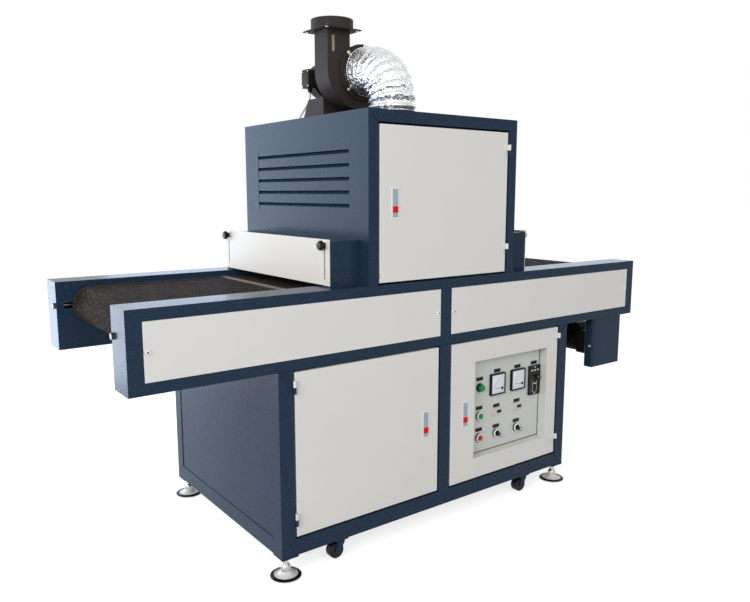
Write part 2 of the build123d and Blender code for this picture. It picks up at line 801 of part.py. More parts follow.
with BuildPart() as uv_lamps:
    with BuildSketch(Plane.XZ.offset(-lamp_half_length)):
        with Locations((0, lamp_z)):
            with GridLocations(lamp_pitch, 1, lamp_count, 1):
                Circle(lamp_radius)
    extrude(amount=2 * lamp_half_length)
    with BuildSketch(Plane.XZ.offset(-lamp_half_length)):
        with Locations((0, lamp_z)):
            with GridLocations(lamp_pitch, 1, lamp_count, 1):
                Circle(lamp_cap_radius)
    extrude(amount=lamp_cap_length)
    with BuildSketch(Plane.XZ.offset(lamp_half_length)):
        with Locations((0, lamp_z)):
            with GridLocations(lamp_pitch, 1, lamp_count, 1):
                Circle(lamp_cap_radius)
    extrude(amount=-lamp_cap_length)
uv_lamps.part.label = "uv_lamps"
export_step(uv_lamps.part, "parts/uv_lamps.step")


# Doors: pans of folded sheet with lift-off hinges and a flush latch
pivot_y = -half_width - hinge_proud
hood_latch_x = -(hood_door_half - hood_latch_inset)
hood_latch_z = hood_door_bottom + hood_latch_rise
left_latch_x = -(door_inner + left_latch_inset)
control_latch_x = door_inner + control_latch_inset
base_latch_z = door_bottom + base_latch_rise
base_pivot_x = door_outer + door_gap / 2
base_leaf_x = base_pivot_x - hinge_leaf / 2
hinge_leaf_mid_y = hinge_leaf_y + hinge_leaf_thickness / 2

with BuildPart() as hood_door:
    with BuildSketch(front.offset(-door_thickness)):
        with Locations((0, (hood_door_bottom + hood_door_top) / 2)):
            Rectangle(2 * hood_door_half, hood_door_top - hood_door_bottom)
    extrude(amount=door_thickness)
    fillet(hood_door.faces().sort_by(Axis.Y)[0].edges(), door_edge_round)
    with BuildSketch(front.offset(-door_thickness)):
        with Locations((0, (hood_door_bottom + hood_door_top) / 2)):
            Rectangle(
                2 * (hood_door_half - door_edge_round),
                hood_door_top - hood_door_bottom - 2 * door_edge_round,
            )
    extrude(amount=door_thickness - door_sheet, mode=Mode.SUBTRACT)
    with BuildSketch(front.offset(-door_thickness)):
        with Locations((hood_latch_x, hood_latch_z)):
            Rectangle(latch_width, latch_height)
    extrude(amount=door_thickness, mode=Mode.SUBTRACT)
    for hinge_z in hood_hinges:
        with BuildSketch(Plane.XY.offset(hinge_z + seat_gap)):
            with Locations((hood_pivot_x - hinge_leaf / 2, hinge_leaf_mid_y)):
                Rectangle(hinge_leaf, hinge_leaf_thickness)
            with Locations((hood_pivot_x, pivot_y)):
                Circle(hinge_radius)
            with Locations((hood_pivot_x, pivot_y)):
                Circle(hinge_pin_radius + pin_gap, mode=Mode.SUBTRACT)
        extrude(amount=hinge_half)
hood_door.part.label = "hood_door"
export_step(hood_door.part, "parts/hood_door.step")

with BuildPart() as left_door:
    with BuildSketch(front.offset(-door_thickness)):
        with Locations((-(door_outer + door_inner) / 2, (door_bottom + door_top) / 2)):
            Rectangle(door_outer - door_inner, door_top - door_bottom)
    extrude(amount=door_thickness)
    fillet(left_door.faces().sort_by(Axis.Y)[0].edges(), door_edge_round)
    with BuildSketch(front.offset(-door_thickness)):
        with Locations((-(door_outer + door_inner) / 2, (door_bottom + door_top) / 2)):
            Rectangle(
                door_outer - door_inner - 2 * door_edge_round,
                door_top - door_bottom - 2 * door_edge_round,
            )
    extrude(amount=door_thickness - door_sheet, mode=Mode.SUBTRACT)
    with BuildSketch(front.offset(-door_thickness)):
        with Locations((left_latch_x, base_latch_z)):
            Rectangle(latch_width, latch_height)
    extrude(amount=door_thickness, mode=Mode.SUBTRACT)
    for hinge_z in base_hinges:
        with BuildSketch(Plane.XY.offset(hinge_z + seat_gap)):
            with Locations((-base_leaf_x, hinge_leaf_mid_y)):
                Rectangle(hinge_leaf, hinge_leaf_thickness)
            with Locations((-base_pivot_x, pivot_y)):
                Circle(hinge_radius)
            with Locations((-base_pivot_x, pivot_y)):
                Circle(hinge_pin_radius + pin_gap, mode=Mode.SUBTRACT)
        extrude(amount=hinge_half)
left_door.part.label = "left_door"
export_step(left_door.part, "parts/left_door.step")

window_left = door_inner + window_inner_margin
window_right = door_outer - window_outer_margin
window_bottom = door_bottom + window_bottom_margin
window_top = door_top - window_top_margin
window_x = (window_left + window_right) / 2
window_z = (window_bottom + window_top) / 2
window_width = window_right - window_left
window_height = window_top - window_bottom
with BuildPart() as control_door:
    with BuildSketch(front.offset(-door_thickness)):
        with Locations(((door_outer + door_inner) / 2, (door_bottom + door_top) / 2)):
            Rectangle(door_outer - door_inner, door_top - door_bottom)
    extrude(amount=door_thickness)
    fillet(control_door.faces().sort_by(Axis.Y)[0].edges(), door_edge_round)
    with BuildSketch(front.offset(-door_thickness)):
        with Locations(((door_outer + door_inner) / 2, (door_bottom + door_top) / 2)):
            Rectangle(
                door_outer - door_inner - 2 * door_edge_round,
                door_top - door_bottom - 2 * door_edge_round,
            )
    extrude(amount=door_thickness - door_sheet, mode=Mode.SUBTRACT)
    with BuildSketch(front.offset(-door_thickness)):
        with Locations((control_latch_x, base_latch_z)):
            Rectangle(latch_width, latch_height)
        with Locations((window_x, window_z)):
            Rectangle(window_width, window_height)
    extrude(amount=door_thickness, mode=Mode.SUBTRACT)
    for hinge_z in base_hinges:
        with BuildSketch(Plane.XY.offset(hinge_z + seat_gap)):
            with Locations((base_leaf_x, hinge_leaf_mid_y)):
                Rectangle(hinge_leaf, hinge_leaf_thickness)
            with Locations((base_pivot_x, pivot_y)):
                Circle(hinge_radius)
            with Locations((base_pivot_x, pivot_y)):
                Circle(hinge_pin_radius + pin_gap, mode=Mode.SUBTRACT)
        extrude(amount=hinge_half)
control_door.part.label = "control_door"
export_step(control_door.part, "parts/control_door.step")

# Pan behind the window
pan_front = front.offset(-door_sheet)
with BuildPart() as control_panel:
    with BuildSketch(pan_front):
        with Locations((window_x, window_z)):
            Rectangle(window_width + 2 * pan_flange, window_height + 2 * pan_flange)
    extrude(amount=-pan_sheet)
    with BuildSketch(pan_front):
        with Locations((window_x, window_z)):
            Rectangle(window_width + 2 * pan_sheet, window_height + 2 * pan_sheet)
    extrude(amount=-(pan_depth + pan_sheet - door_sheet))
    with BuildSketch(pan_front):
        with Locations((window_x, window_z)):
            Rectangle(window_width, window_height)
    extrude(amount=-(pan_depth - door_sheet), mode=Mode.SUBTRACT)
control_panel.part.label = "control_panel"
export_step(control_panel.part, "parts/control_panel.step")

# Instruments on the pan
plate = front.offset(-pan_depth)
column_lamp = window_left + lamp_column_inset
column_meter = window_left + meter_column_share * window_width
column_second = window_left + second_column_share * window_width
column_speed = window_right - speed_column_inset
row_meter = window_bottom + meter_row_share * window_height
row_speed = window_bottom + speed_row_share * window_height
row_counter = window_bottom + counter_row_share * window_height
row_switch = window_bottom + switch_row_share * window_height
with BuildPart() as panel_meters:
    with BuildSketch(plate):
        with Locations((column_meter, row_meter), (column_second, row_meter)):
            RectangleRounded(meter_width, meter_height, 3)
    extrude(amount=meter_depth)
    with BuildSketch(plate.offset(meter_depth)):
        with Locations((column_meter, row_meter), (column_second, row_meter)):
            Rectangle(meter_width - 2 * meter_bezel, meter_height - 2 * meter_bezel)
    extrude(amount=-meter_dial_depth, mode=Mode.SUBTRACT)
    # Hour counters below the meters
    with BuildSketch(plate):
        with Locations((column_meter, row_counter), (column_second, row_counter)):
            RectangleRounded(counter_width, counter_height, 2)
    extrude(amount=counter_depth)
    with BuildSketch(plate.offset(counter_depth)):
        with Locations(
            (column_meter + counter_width / 2 - counter_window_inset, row_counter),
            (column_second + counter_width / 2 - counter_window_inset, row_counter),
        ):
            Rectangle(counter_window_width, counter_window_height)
    extrude(amount=-counter_window_depth, mode=Mode.SUBTRACT)
panel_meters.part.label = "panel_meters"
export_step(panel_meters.part, "parts/panel_meters.step")

with BuildPart() as speed_controller:
    with BuildSketch(plate):
        with Locations((column_speed, row_speed)):
            RectangleRounded(speed_width, speed_height, 2)
    extrude(amount=speed_depth)
    with BuildSketch(plate.offset(speed_depth)):
        with Locations((column_speed + speed_knob_side, row_speed + speed_knob_rise)):
            Circle(speed_knob_radius)
    extrude(amount=speed_knob_length, taper=5)
speed_controller.part.label = "speed_controller"
export_step(speed_controller.part, "parts/speed_controller.step")

with BuildPart() as panel_switches:
    # Signal lamp
    with BuildSketch(plate):
        with Locations((column_lamp, row_meter)):
            Circle(signal_bezel_radius)
    extrude(amount=signal_bezel_depth)
    with BuildSketch(plate.offset(signal_bezel_depth)):
        with Locations((column_lamp, row_meter)):
            Circle(signal_lens_radius)
    extrude(amount=signal_lens_depth, taper=4)
    # Push buttons
    with BuildSketch(plate):
        with Locations((column_lamp, row_counter), (column_lamp, row_switch)):
            Circle(bezel_radius)
    extrude(amount=bezel_depth, taper=6)
    with BuildSketch(plate.offset(bezel_depth)):
        with Locations((column_lamp, row_counter), (column_lamp, row_switch)):
            Circle(button_radius)
    extrude(amount=button_depth)
    # Selector switches with a lever
    with BuildSketch(plate):
        with Locations((column_meter, row_switch), (column_second, row_switch)):
            Circle(bezel_radius)
    extrude(amount=bezel_depth, taper=6)
    with BuildSketch(plate.offset(bezel_depth)):
        with Locations((column_meter, row_switch), (column_second, row_switch)):
            SlotOverall(lever_length, lever_width, rotation=-35)
    extrude(amount=lever_depth)
panel_switches.part.label = "panel_switches"
export_step(panel_switches.part, "parts/panel_switches.step")

# Latches: a bezel set in the door with a pull lever and a release button
for latch_name, latch_x, latch_z in (
    ("hood_door_latch", hood_latch_x, hood_latch_z),
    ("left_door_latch", left_latch_x, base_latch_z),
    ("control_door_latch", control_latch_x, base_latch_z),
):
    with BuildPart() as latch:
        with BuildSketch(front):
            with Locations((latch_x, latch_z)):
                RectangleRounded(latch_width + 2 * latch_bezel, latch_height + 2 * latch_bezel, 3)
        extrude(amount=latch_bezel_thickness)
        with BuildSketch(front):
            with Locations((latch_x, latch_z)):
                Rectangle(latch_width, latch_height)
        extrude(amount=-door_thickness + latch_wall)
        with BuildSketch(front.offset(latch_bezel_thickness)):
            with Locations((latch_x, latch_z)):
                Rectangle(latch_width - 2 * latch_wall, latch_height - 2 * latch_wall)
        extrude(amount=-latch_recess, mode=Mode.SUBTRACT)
        with BuildSketch(front.offset(latch_bezel_thickness - latch_recess)):
            with Locations((latch_x, latch_z)):
                Rectangle(latch_width - 2 * latch_wall - 2, latch_height - 2 * latch_wall - 2)
        extrude(amount=latch_recess - 0.5)
        with BuildSketch(front.offset(latch_bezel_thickness - 0.5)):
            with Locations((latch_x, latch_z - latch_button_drop)):
                RectangleRounded(latch_width - 2 * latch_wall, latch_button_height, 2)
        extrude(amount=2.5)
    latch.part.label = latch_name
    export_step(latch.part, f"parts/{latch_name}.step")


# Drive: guard over the chain, bracket and gear motor under the front rail
guard_y = -half_width + guard_front_inset + guard_depth / 2
with BuildPart() as drive_guard:
    with BuildSketch(Plane.XY.offset(rail_bottom)):
        with Locations((drive_x, guard_y)):
            RectangleRounded(guard_width, guard_depth, guard_round)
    extrude(amount=-(rail_bottom - guard_bottom))
    fillet(drive_guard.faces().sort_by(Axis.Z)[0].edges(), 2)
drive_guard.part.label = "drive_guard"
export_step(drive_guard.part, "parts/drive_guard.step")

bracket_y = guard_y + guard_depth / 2
bracket_width = gearhead_size + 2 * bracket_margin
bracket_low = drive_z - gearhead_size / 2 - bracket_margin / 2
with BuildPart() as motor_bracket:
    with BuildSketch(Plane.XZ.offset(-bracket_y)):
        with Locations((drive_x, (bracket_low + rail_bottom) / 2)):
            Rectangle(bracket_width, rail_bottom - bracket_low)
    extrude(amount=-bracket_thickness)
    # Foot bolted under the rail
    with BuildSketch(Plane.XY.offset(rail_bottom)):
        with Locations((drive_x, bracket_y + bracket_foot / 2)):
            Rectangle(bracket_width, bracket_foot)
    extrude(amount=-bracket_thickness)
motor_bracket.part.label = "motor_bracket"
export_step(motor_bracket.part, "parts/motor_bracket.step")

gear_y = bracket_y + bracket_thickness
with BuildPart() as drive_motor:
    with BuildSketch(Plane.XZ.offset(-gear_y)):
        with Locations((drive_x, drive_z)):
            RectangleRounded(gearhead_size, gearhead_size, 8)
    extrude(amount=-gearhead_length)
    with BuildSketch(Plane.XZ.offset(-gear_y - gearhead_length)):
        with Locations((drive_x, drive_z)):
            Circle(motor_radius)
    extrude(amount=-motor_length)
    # Terminal box above the motor
    with BuildSketch(Plane.XY.offset(drive_z + motor_radius - 6)):
        with Locations((drive_x, gear_y + gearhead_length + 40)):
            RectangleRounded(54, 60, 4)
    extrude(amount=34)
drive_motor.part.label = "drive_motor"
export_step(drive_motor.part, "parts/drive_motor.step")


# Blower: scroll housing whose radius grows towards the outlet
growth = scroll_radius_outlet - scroll_radius_tongue
scroll_points = []
for step in range(10):
    turn = step * 30
    reach = scroll_radius_outlet - growth * turn / 270
    heading = radians(180 + turn)
    scroll_points.append((fan_x + reach * cos(heading), fan_z + reach * sin(heading)))
outlet_right = outlet_left + outlet_width
tongue_x, tongue_z = scroll_points[-1]
spigot_radius = duct_radius - duct_wall - seat_gap
with BuildPart() as blower_housing:
    with BuildSketch(Plane.XZ.offset(-scroll_back)):
        with BuildLine():
            Spline(*scroll_points, tangents=((0, -1), (-1, 0)))
            outlet_corner = (outlet_right, tongue_z - 6)
            Line((tongue_x, tongue_z), outlet_corner)
            Line(outlet_corner, (outlet_right, outlet_flange_z))
            Line((outlet_right, outlet_flange_z), (outlet_left, outlet_flange_z))
            Line((outlet_left, outlet_flange_z), (outlet_left, fan_z))
        make_face()
    extrude(amount=scroll_depth)
    # Open outlet passage
    with BuildSketch(Plane.XY.offset(outlet_flange_z)):
        with Locations((outlet_x, scroll_mid)):
            Rectangle(outlet_width - 2 * outlet_wall, scroll_depth - 2 * outlet_wall)
    extrude(amount=-(outlet_flange_z - fan_z), mode=Mode.SUBTRACT)
    # Inlet ring with its bolts and the spigot for the duct
    with BuildSketch(Plane.XZ.offset(-scroll_front)):
        with Locations((fan_x, fan_z)):
            Circle(inlet_ring_radius)
    extrude(amount=inlet_ring_thickness)
    with BuildSketch(Plane.XZ.offset(-scroll_front + inlet_ring_thickness)):
        with Locations((fan_x, fan_z)):
            with PolarLocations(inlet_bolt_circle, 4, 45):
                RegularPolygon(inlet_bolt_radius, 6)
    extrude(amount=4)
    with BuildSketch(Plane.XZ.offset(-scroll_front + inlet_ring_thickness)):
        with Locations((fan_x, fan_z)):
            Circle(spigot_radius)
            Circle(spigot_radius - duct_wall, mode=Mode.SUBTRACT)
    extrude(amount=spigot_length)
blower_housing.part.label = "blower_housing"
export_step(blower_housing.part, "parts/blower_housing.step")

with BuildPart() as outlet_collar:
    with BuildSketch(Plane.XY.offset(outlet_flange_z)):
        with Locations((outlet_x, scroll_mid)):
            Rectangle(outlet_flange, outlet_flange)
            Rectangle(outlet_width - 2 * outlet_wall, scroll_depth - 2 * outlet_wall, mode=Mode.SUBTRACT)
    extrude(amount=outlet_flange_thickness)
    with BuildSketch(Plane.XY.offset(machine_height)):
        with Locations((outlet_x, scroll_mid)):
            Circle(outlet_collar_radius)
            Circle(outlet_collar_radius - outlet_wall, mode=Mode.SUBTRACT)
    extrude(amount=-outlet_collar_height)
outlet_collar.part.label = "outlet_collar"
export_step(outlet_collar.part, "parts/outlet_collar.step")

# Stand: front plate, two sloping sides and a top shelf for the motor
stand_left = fan_x - stand_half_width
stand_right = fan_x + stand_half_width
with BuildPart() as blower_stand:
    for stand_x in (stand_left, stand_right - stand_sheet):
        with BuildSketch(Plane.YZ.offset(stand_x)):
            with BuildLine():
                Polyline(
                    (scroll_back, hood_top),
                    (scroll_back + stand_foot_length, hood_top),
                    (scroll_back + stand_top_length, hood_top + stand_height),
                    (scroll_back, hood_top + stand_height),
                    close=True,
                )
            make_face()
        extrude(amount=stand_sheet)
    with BuildSketch(Plane.XZ.offset(-scroll_back - stand_sheet)):
        with Locations((fan_x, hood_top + stand_height / 2)):
            Rectangle(2 * stand_half_width, stand_height)
    extrude(amount=stand_sheet)
    with BuildSketch(Plane.XY.offset(hood_top + stand_height)):
        with Locations((fan_x, scroll_back + stand_top_length / 2)):
            Rectangle(2 * stand_half_width, stand_top_length)
    extrude(amount=-stand_sheet)
blower_stand.part.label = "blower_stand"
export_step(blower_stand.part, "parts/blower_stand.step")

# Fan motor: flanged, finned, with a terminal box and feet on the shelf
motor_foot_height = fan_above_hood - stand_height
terminal_box_x = fan_x - fan_motor_radius + terminal_box_offset_in
terminal_box_y = scroll_back + terminal_box_offset
lead_x = terminal_box_x - terminal_box_reach / 2
with BuildPart() as blower_motor:
    with BuildSketch(Plane.XZ.offset(-scroll_back)):
        with Locations((fan_x, fan_z)):
            Circle(fan_motor_radius + 8)
    extrude(amount=-8)
    with BuildSketch(Plane.XZ.offset(-scroll_back - 8)):
        with Locations((fan_x, fan_z)):
            Circle(fan_motor_radius - 4)
    extrude(amount=-(fan_motor_length - 8))
    # Cooling fins
    for fin in range(7):
        with BuildSketch(Plane.XZ.offset(-scroll_back - 24 - fin * 14)):
            with Locations((fan_x, fan_z)):
                Circle(fan_motor_radius)
        extrude(amount=-5)
    # Fan cowl
    with BuildSketch(Plane.XZ.offset(-scroll_back - fan_motor_length + 46)):
        with Locations((fan_x, fan_z)):
            Circle(fan_motor_radius + 2)
    extrude(amount=-46)
    # Feet
    with BuildSketch(Plane.XY.offset(hood_top + stand_height)):
        with Locations((fan_x - 34, scroll_back + 52), (fan_x + 34, scroll_back + 52)):
            Rectangle(26, 70)
    extrude(amount=motor_foot_height - fan_motor_radius * 0.72)
    # Terminal box with a gland in its lower side
    with BuildSketch(Plane.YZ.offset(terminal_box_x)):
        with Locations((terminal_box_y, fan_z)):
            RectangleRounded(terminal_box_length, terminal_box_height, terminal_box_round)
    extrude(amount=-terminal_box_reach)
    with BuildSketch(Plane.XY.offset(fan_z - terminal_box_height / 2)):
        with Locations((lead_x, terminal_box_y)):
            RegularPolygon(gland_radius, 6)
    extrude(amount=-gland_nut_height)
    with BuildSketch(Plane.XY.offset(fan_z - terminal_box_height / 2 - gland_nut_height)):
        with Locations((lead_x, terminal_box_y)):
            Circle(gland_cap_radius)
    extrude(amount=-gland_cap_height, taper=8)
blower_motor.part.label = "blower_motor"
export_step(blower_motor.part, "parts/blower_motor.step")

# The motor's lead leaves the gland, swings out and goes straight into a grommet in the hood top
lead_top = fan_z - terminal_box_height / 2 - gland_nut_height - gland_cap_height
lead_points = [
    (lead_x, lead_top),
    (lead_x, lead_top - lead_first_run),
    (lead_x + lead_swing_side, lead_top - lead_swing_fall),
    (lead_x + lead_foot_side, hood_top + lead_foot_rise),
    (lead_x + lead_foot_side, hood_top),
]
lead_radii = []
for before, corner, after in zip(lead_points, lead_points[1:], lead_points[2:]):
    run_in = Vector(*corner) - Vector(*before)
    run_out = Vector(*after) - Vector(*corner)
    turn = radians(run_in.get_angle(run_out))
    lead_radii.append(0.45 * min(run_in.length, run_out.length) / tan(turn / 2))
print("motor lead bend radii", [round(radius) for radius in lead_radii])
with BuildPart() as motor_lead:
    with BuildLine(Plane.XZ.offset(-terminal_box_y)) as lead_path:
        FilletPolyline(*lead_points, radius=lead_radii)
    with BuildSketch(Plane(origin=(lead_x, terminal_box_y, lead_top), z_dir=(0, 0, -1))):
        Circle(lead_radius)
    sweep(path=lead_path.line)
motor_lead.part.label = "motor_lead"
export_step(motor_lead.part, "parts/motor_lead.step")

with BuildPart() as lead_grommet:
    with BuildSketch(Plane.XY.offset(hood_top)):
        with Locations((lead_x + lead_foot_side, terminal_box_y)):
            Circle(grommet_radius)
    extrude(amount=grommet_height)
    fillet(lead_grommet.faces().sort_by(Axis.Z)[-1].edges(), grommet_round)
    with BuildSketch(Plane.XY.offset(hood_top)):
        with Locations((lead_x + lead_foot_side, terminal_box_y)):
            Circle(lead_radius + grommet_gap)
    extrude(amount=grommet_height, mode=Mode.SUBTRACT)
lead_grommet.part.label = "lead_grommet"
export_step(lead_grommet.part, "parts/lead_grommet.step")


# Foil duct from the hood spigot up and round into the blower inlet
spigot_end = scroll_front - inlet_ring_thickness
duct_start = spigot_end - seat_gap
bend_y = duct_foot_y + duct_bend
with BuildPart() as flex_duct:
    with BuildLine() as duct_path:
        inlet_run = Line((fan_x, duct_start, fan_z), (fan_x, bend_y, fan_z))
        bend = TangentArc(inlet_run @ 1, (fan_x, duct_foot_y, fan_z - duct_bend), tangent=inlet_run % 1)
        Line(bend @ 1, (fan_x, duct_foot_y, hood_top + seat_gap))
    with BuildSketch(Plane(origin=(fan_x, duct_start, fan_z), z_dir=(0, -1, 0))):
        Circle(duct_radius)
        Circle(duct_radius - duct_wall, mode=Mode.SUBTRACT)
    sweep(path=duct_path.line)
flex_duct.part.label = "flex_duct"
export_step(flex_duct.part, "parts/flex_duct.step")

band_inner = duct_radius + seat_gap
with BuildPart() as duct_clamps:
    with BuildSketch(Plane.XZ.offset(-spigot_end + 8)):
        with Locations((fan_x, fan_z)):
            Circle(band_inner + clamp_band_thickness)
            Circle(band_inner, mode=Mode.SUBTRACT)
    extrude(amount=clamp_band_width)
    with BuildSketch(Plane.XY.offset(hood_top + 10)):
        with Locations((fan_x, duct_foot_y)):
            Circle(band_inner + clamp_band_thickness)
            Circle(band_inner, mode=Mode.SUBTRACT)
    extrude(amount=clamp_band_width)
duct_clamps.part.label = "duct_clamps"
export_step(duct_clamps.part, "parts/duct_clamps.step")
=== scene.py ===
import json
from math import atan2, cos, pi, radians, sin, tau

import bmesh
import bpy
from mathutils import Euler, Matrix, Vector, noise


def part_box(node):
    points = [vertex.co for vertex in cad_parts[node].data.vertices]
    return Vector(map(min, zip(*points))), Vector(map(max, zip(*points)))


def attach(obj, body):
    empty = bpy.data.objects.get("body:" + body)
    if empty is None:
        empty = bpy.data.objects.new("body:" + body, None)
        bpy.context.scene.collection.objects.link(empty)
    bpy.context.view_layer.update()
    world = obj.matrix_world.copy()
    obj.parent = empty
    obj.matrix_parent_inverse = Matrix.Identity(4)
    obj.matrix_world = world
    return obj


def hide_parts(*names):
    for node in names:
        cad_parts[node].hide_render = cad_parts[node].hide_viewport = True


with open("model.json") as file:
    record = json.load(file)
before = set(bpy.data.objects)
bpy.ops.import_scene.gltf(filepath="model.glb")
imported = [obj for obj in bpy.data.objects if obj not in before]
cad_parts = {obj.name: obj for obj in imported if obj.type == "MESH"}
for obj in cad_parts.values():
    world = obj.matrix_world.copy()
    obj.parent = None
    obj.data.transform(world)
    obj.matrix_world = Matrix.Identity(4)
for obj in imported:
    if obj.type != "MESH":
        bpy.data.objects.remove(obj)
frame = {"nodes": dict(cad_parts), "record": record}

bl_info = {
    "name": "UV curing tunnel",
    "version": (1, 0, 0),
    "blender": (4, 5, 0),
    "location": "View3D > Sidebar > Tunnel",
    "description": "Finishes and fine parts of a conveyor curing tunnel, set on its CAD frame",
    "category": "Object",
}

# Corners of the CAD parts that the fine parts sit on, in metres
belt_low, belt_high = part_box("conveyor_belt")
rail_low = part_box("front_rail")[0]
pan_low, pan_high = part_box("control_panel")
duct_low, duct_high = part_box("flex_duct")
fan_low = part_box("blower_housing")[0]
hood_low, hood_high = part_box("hood_frame")
base_low, base_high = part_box("base_frame")
gate_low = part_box("infeed_gate")[0]
meters_low, meters_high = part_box("panel_meters")
speed_low, speed_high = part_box("speed_controller")
switches_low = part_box("panel_switches")[0]

# Sizes of the instruments
meter_width = 0.072
meter_height = 0.076
bezel_rim = 0.0049
scale_radius = 0.0375
counter_width = 0.046
counter_height = 0.024
switch_radius = 0.015
cap_radius = 0.0102

# Columns and rows of the instruments, and the plate they stand on
plate_y = meters_high.y
lamp_x = switches_low.x + switch_radius
meter_x = meters_low.x + meter_width / 2
second_x = meters_high.x - meter_width / 2
speed_x = (speed_low.x + speed_high.x) / 2
meter_z = meters_high.z - meter_height / 2
speed_z = (speed_low.z + speed_high.z) / 2
counter_z = meters_low.z + counter_height / 2
switch_z = switches_low.z + switch_radius

# The pan's inside, in from its flange
pan_flange = 0.014
window_low = pan_low + Vector((pan_flange, 0, pan_flange))
window_high = pan_high - Vector((pan_flange, 0, pan_flange))

# Places on the frame
frame_front = rail_low.y
panel_inner_end = 0.0235
screw_inset = 0.0090
flange_inset = 0.012
foot_y = 0.350
hood_member = 0.035
base_member = 0.045

# The blower: its axis, the face of its inlet ring, and the front of its outlet
fan_x = (duct_low.x + duct_high.x) / 2
fan_z = duct_high.z - (duct_high.x - duct_low.x) / 2
inlet_ring_y = fan_low.y + 0.030
bolt_circle = 0.086
label_place = (-0.1280, 0.060, 1.5690)

# Where the belt's joint stands in the photograph, and the length of a ring of the duct's foil
joint_x = -0.464
foil_step = 0.0022

# Where the photograph was taken from, and what the lights face
camera_place = (-1.5015, -2.0015, 1.0755)
light_aim = Vector((0.0, 0.0, 0.75))


def linear(code):
    """Turns an sRGB hex colour into the linear colour that a shader takes."""
    parts = [int(code[start:start + 2], 16) / 255 for start in (1, 3, 5)]
    parts = [part / 12.92 if part <= 0.04045 else ((part + 0.055) / 1.055) ** 2.4 for part in parts]
    return (*parts, 1.0)


def add_node(tree, kind, inputs=None, **settings):
    """Adds a node, sets its properties and fills its inputs with values or links."""
    node = tree.nodes.new(kind)
    for name, value in settings.items():
        setattr(node, name, value)
    for name, value in (inputs or {}).items():
        if isinstance(value, bpy.types.NodeSocket):
            tree.links.new(value, node.inputs[name])
        else:
            node.inputs[name].default_value = value
    return node


def start_material(name):
    """An empty material and its node tree."""
    material = bpy.data.materials.new(name)
    material.use_nodes = True
    material.node_tree.nodes.clear()
    return material, material.node_tree


def finish_material(tree, relief, inputs):
    """Closes a material with one principled surface; relief is (pattern, strength, depth)."""
    pattern, strength, depth = relief
    bump = add_node(tree, "ShaderNodeBump", {"Height": pattern, "Strength": strength, "Distance": depth})
    surface = add_node(tree, "ShaderNodeBsdfPrincipled", {**inputs, "Normal": bump.outputs[0]})
    add_node(tree, "ShaderNodeOutputMaterial", {"Surface": surface.outputs[0]})


def finish_patterned(tree, colour, tones, dull, relief, inputs):
    """Closes a material whose tone, roughness and relief follow patterns.

    tones holds (pattern, low, high) for each pattern that shades the colour, and dull is the same
    for the roughness. Noise runs from about 0.3 to 0.7, and is spread from low to high.
    """
    levels = []
    for pattern, low, high in (dull, *tones):
        level = add_node(tree, "ShaderNodeMapRange", {
            "Value": pattern, "From Min": 0.3, "From Max": 0.7, "To Min": low, "To Max": high,
        })
        levels.append(level.outputs[0])
    roughness, *levels = levels
    shade = linear(colour)[:3]
    for level in levels:
        scaled = add_node(tree, "ShaderNodeVectorMath", {0: shade, "Scale": level}, operation="SCALE")
        shade = scaled.outputs[0]
    finish_material(tree, relief, {"Base Color": shade, "Roughness": roughness, **inputs})


def seen_rays(tree):
    """Gives 1 to rays that see a thing, also by reflection or through glass, and 0 to its light."""
    rays = add_node(tree, "ShaderNodeLightPath")
    seen = rays.outputs["Is Camera Ray"]
    for kind in ("Is Glossy Ray", "Is Transmission Ray"):
        either = add_node(tree, "ShaderNodeMath", {0: seen, 1: rays.outputs[kind]}, operation="MAXIMUM")
        seen = either.outputs[0]
    return seen


# Finishes
def powder_coat(name, colour, grain, roughness, level, relief, spread=0.1):
    """Baked polyester powder coat on folded steel sheet.

    The powder melts into a skin with a fine orange peel, so highlights break up softly
    and the colour drifts a little over a large sheet. The peel is drawn a few millimetres wide,
    coarser than the real one, so that it shows.
    """
    material, tree = start_material(name)
    place = add_node(tree, "ShaderNodeTexCoord").outputs["Object"]
    peel = add_node(tree, "ShaderNodeTexNoise", {"Vector": place, "Scale": 1 / grain, "Detail": 3.0})
    peel = peel.outputs["Fac"]
    drift = add_node(tree, "ShaderNodeTexNoise", {"Vector": place, "Scale": 6.0, "Detail": 2.0})
    finish_patterned(
        tree, colour, [(drift.outputs["Fac"], 0.99, 1.01), (peel, 1 - spread, 1 + spread)],
        (peel, roughness - 0.05, roughness + 0.05), (peel, relief, grain * 0.2),
        {"Specular IOR Level": level},
    )
    return material


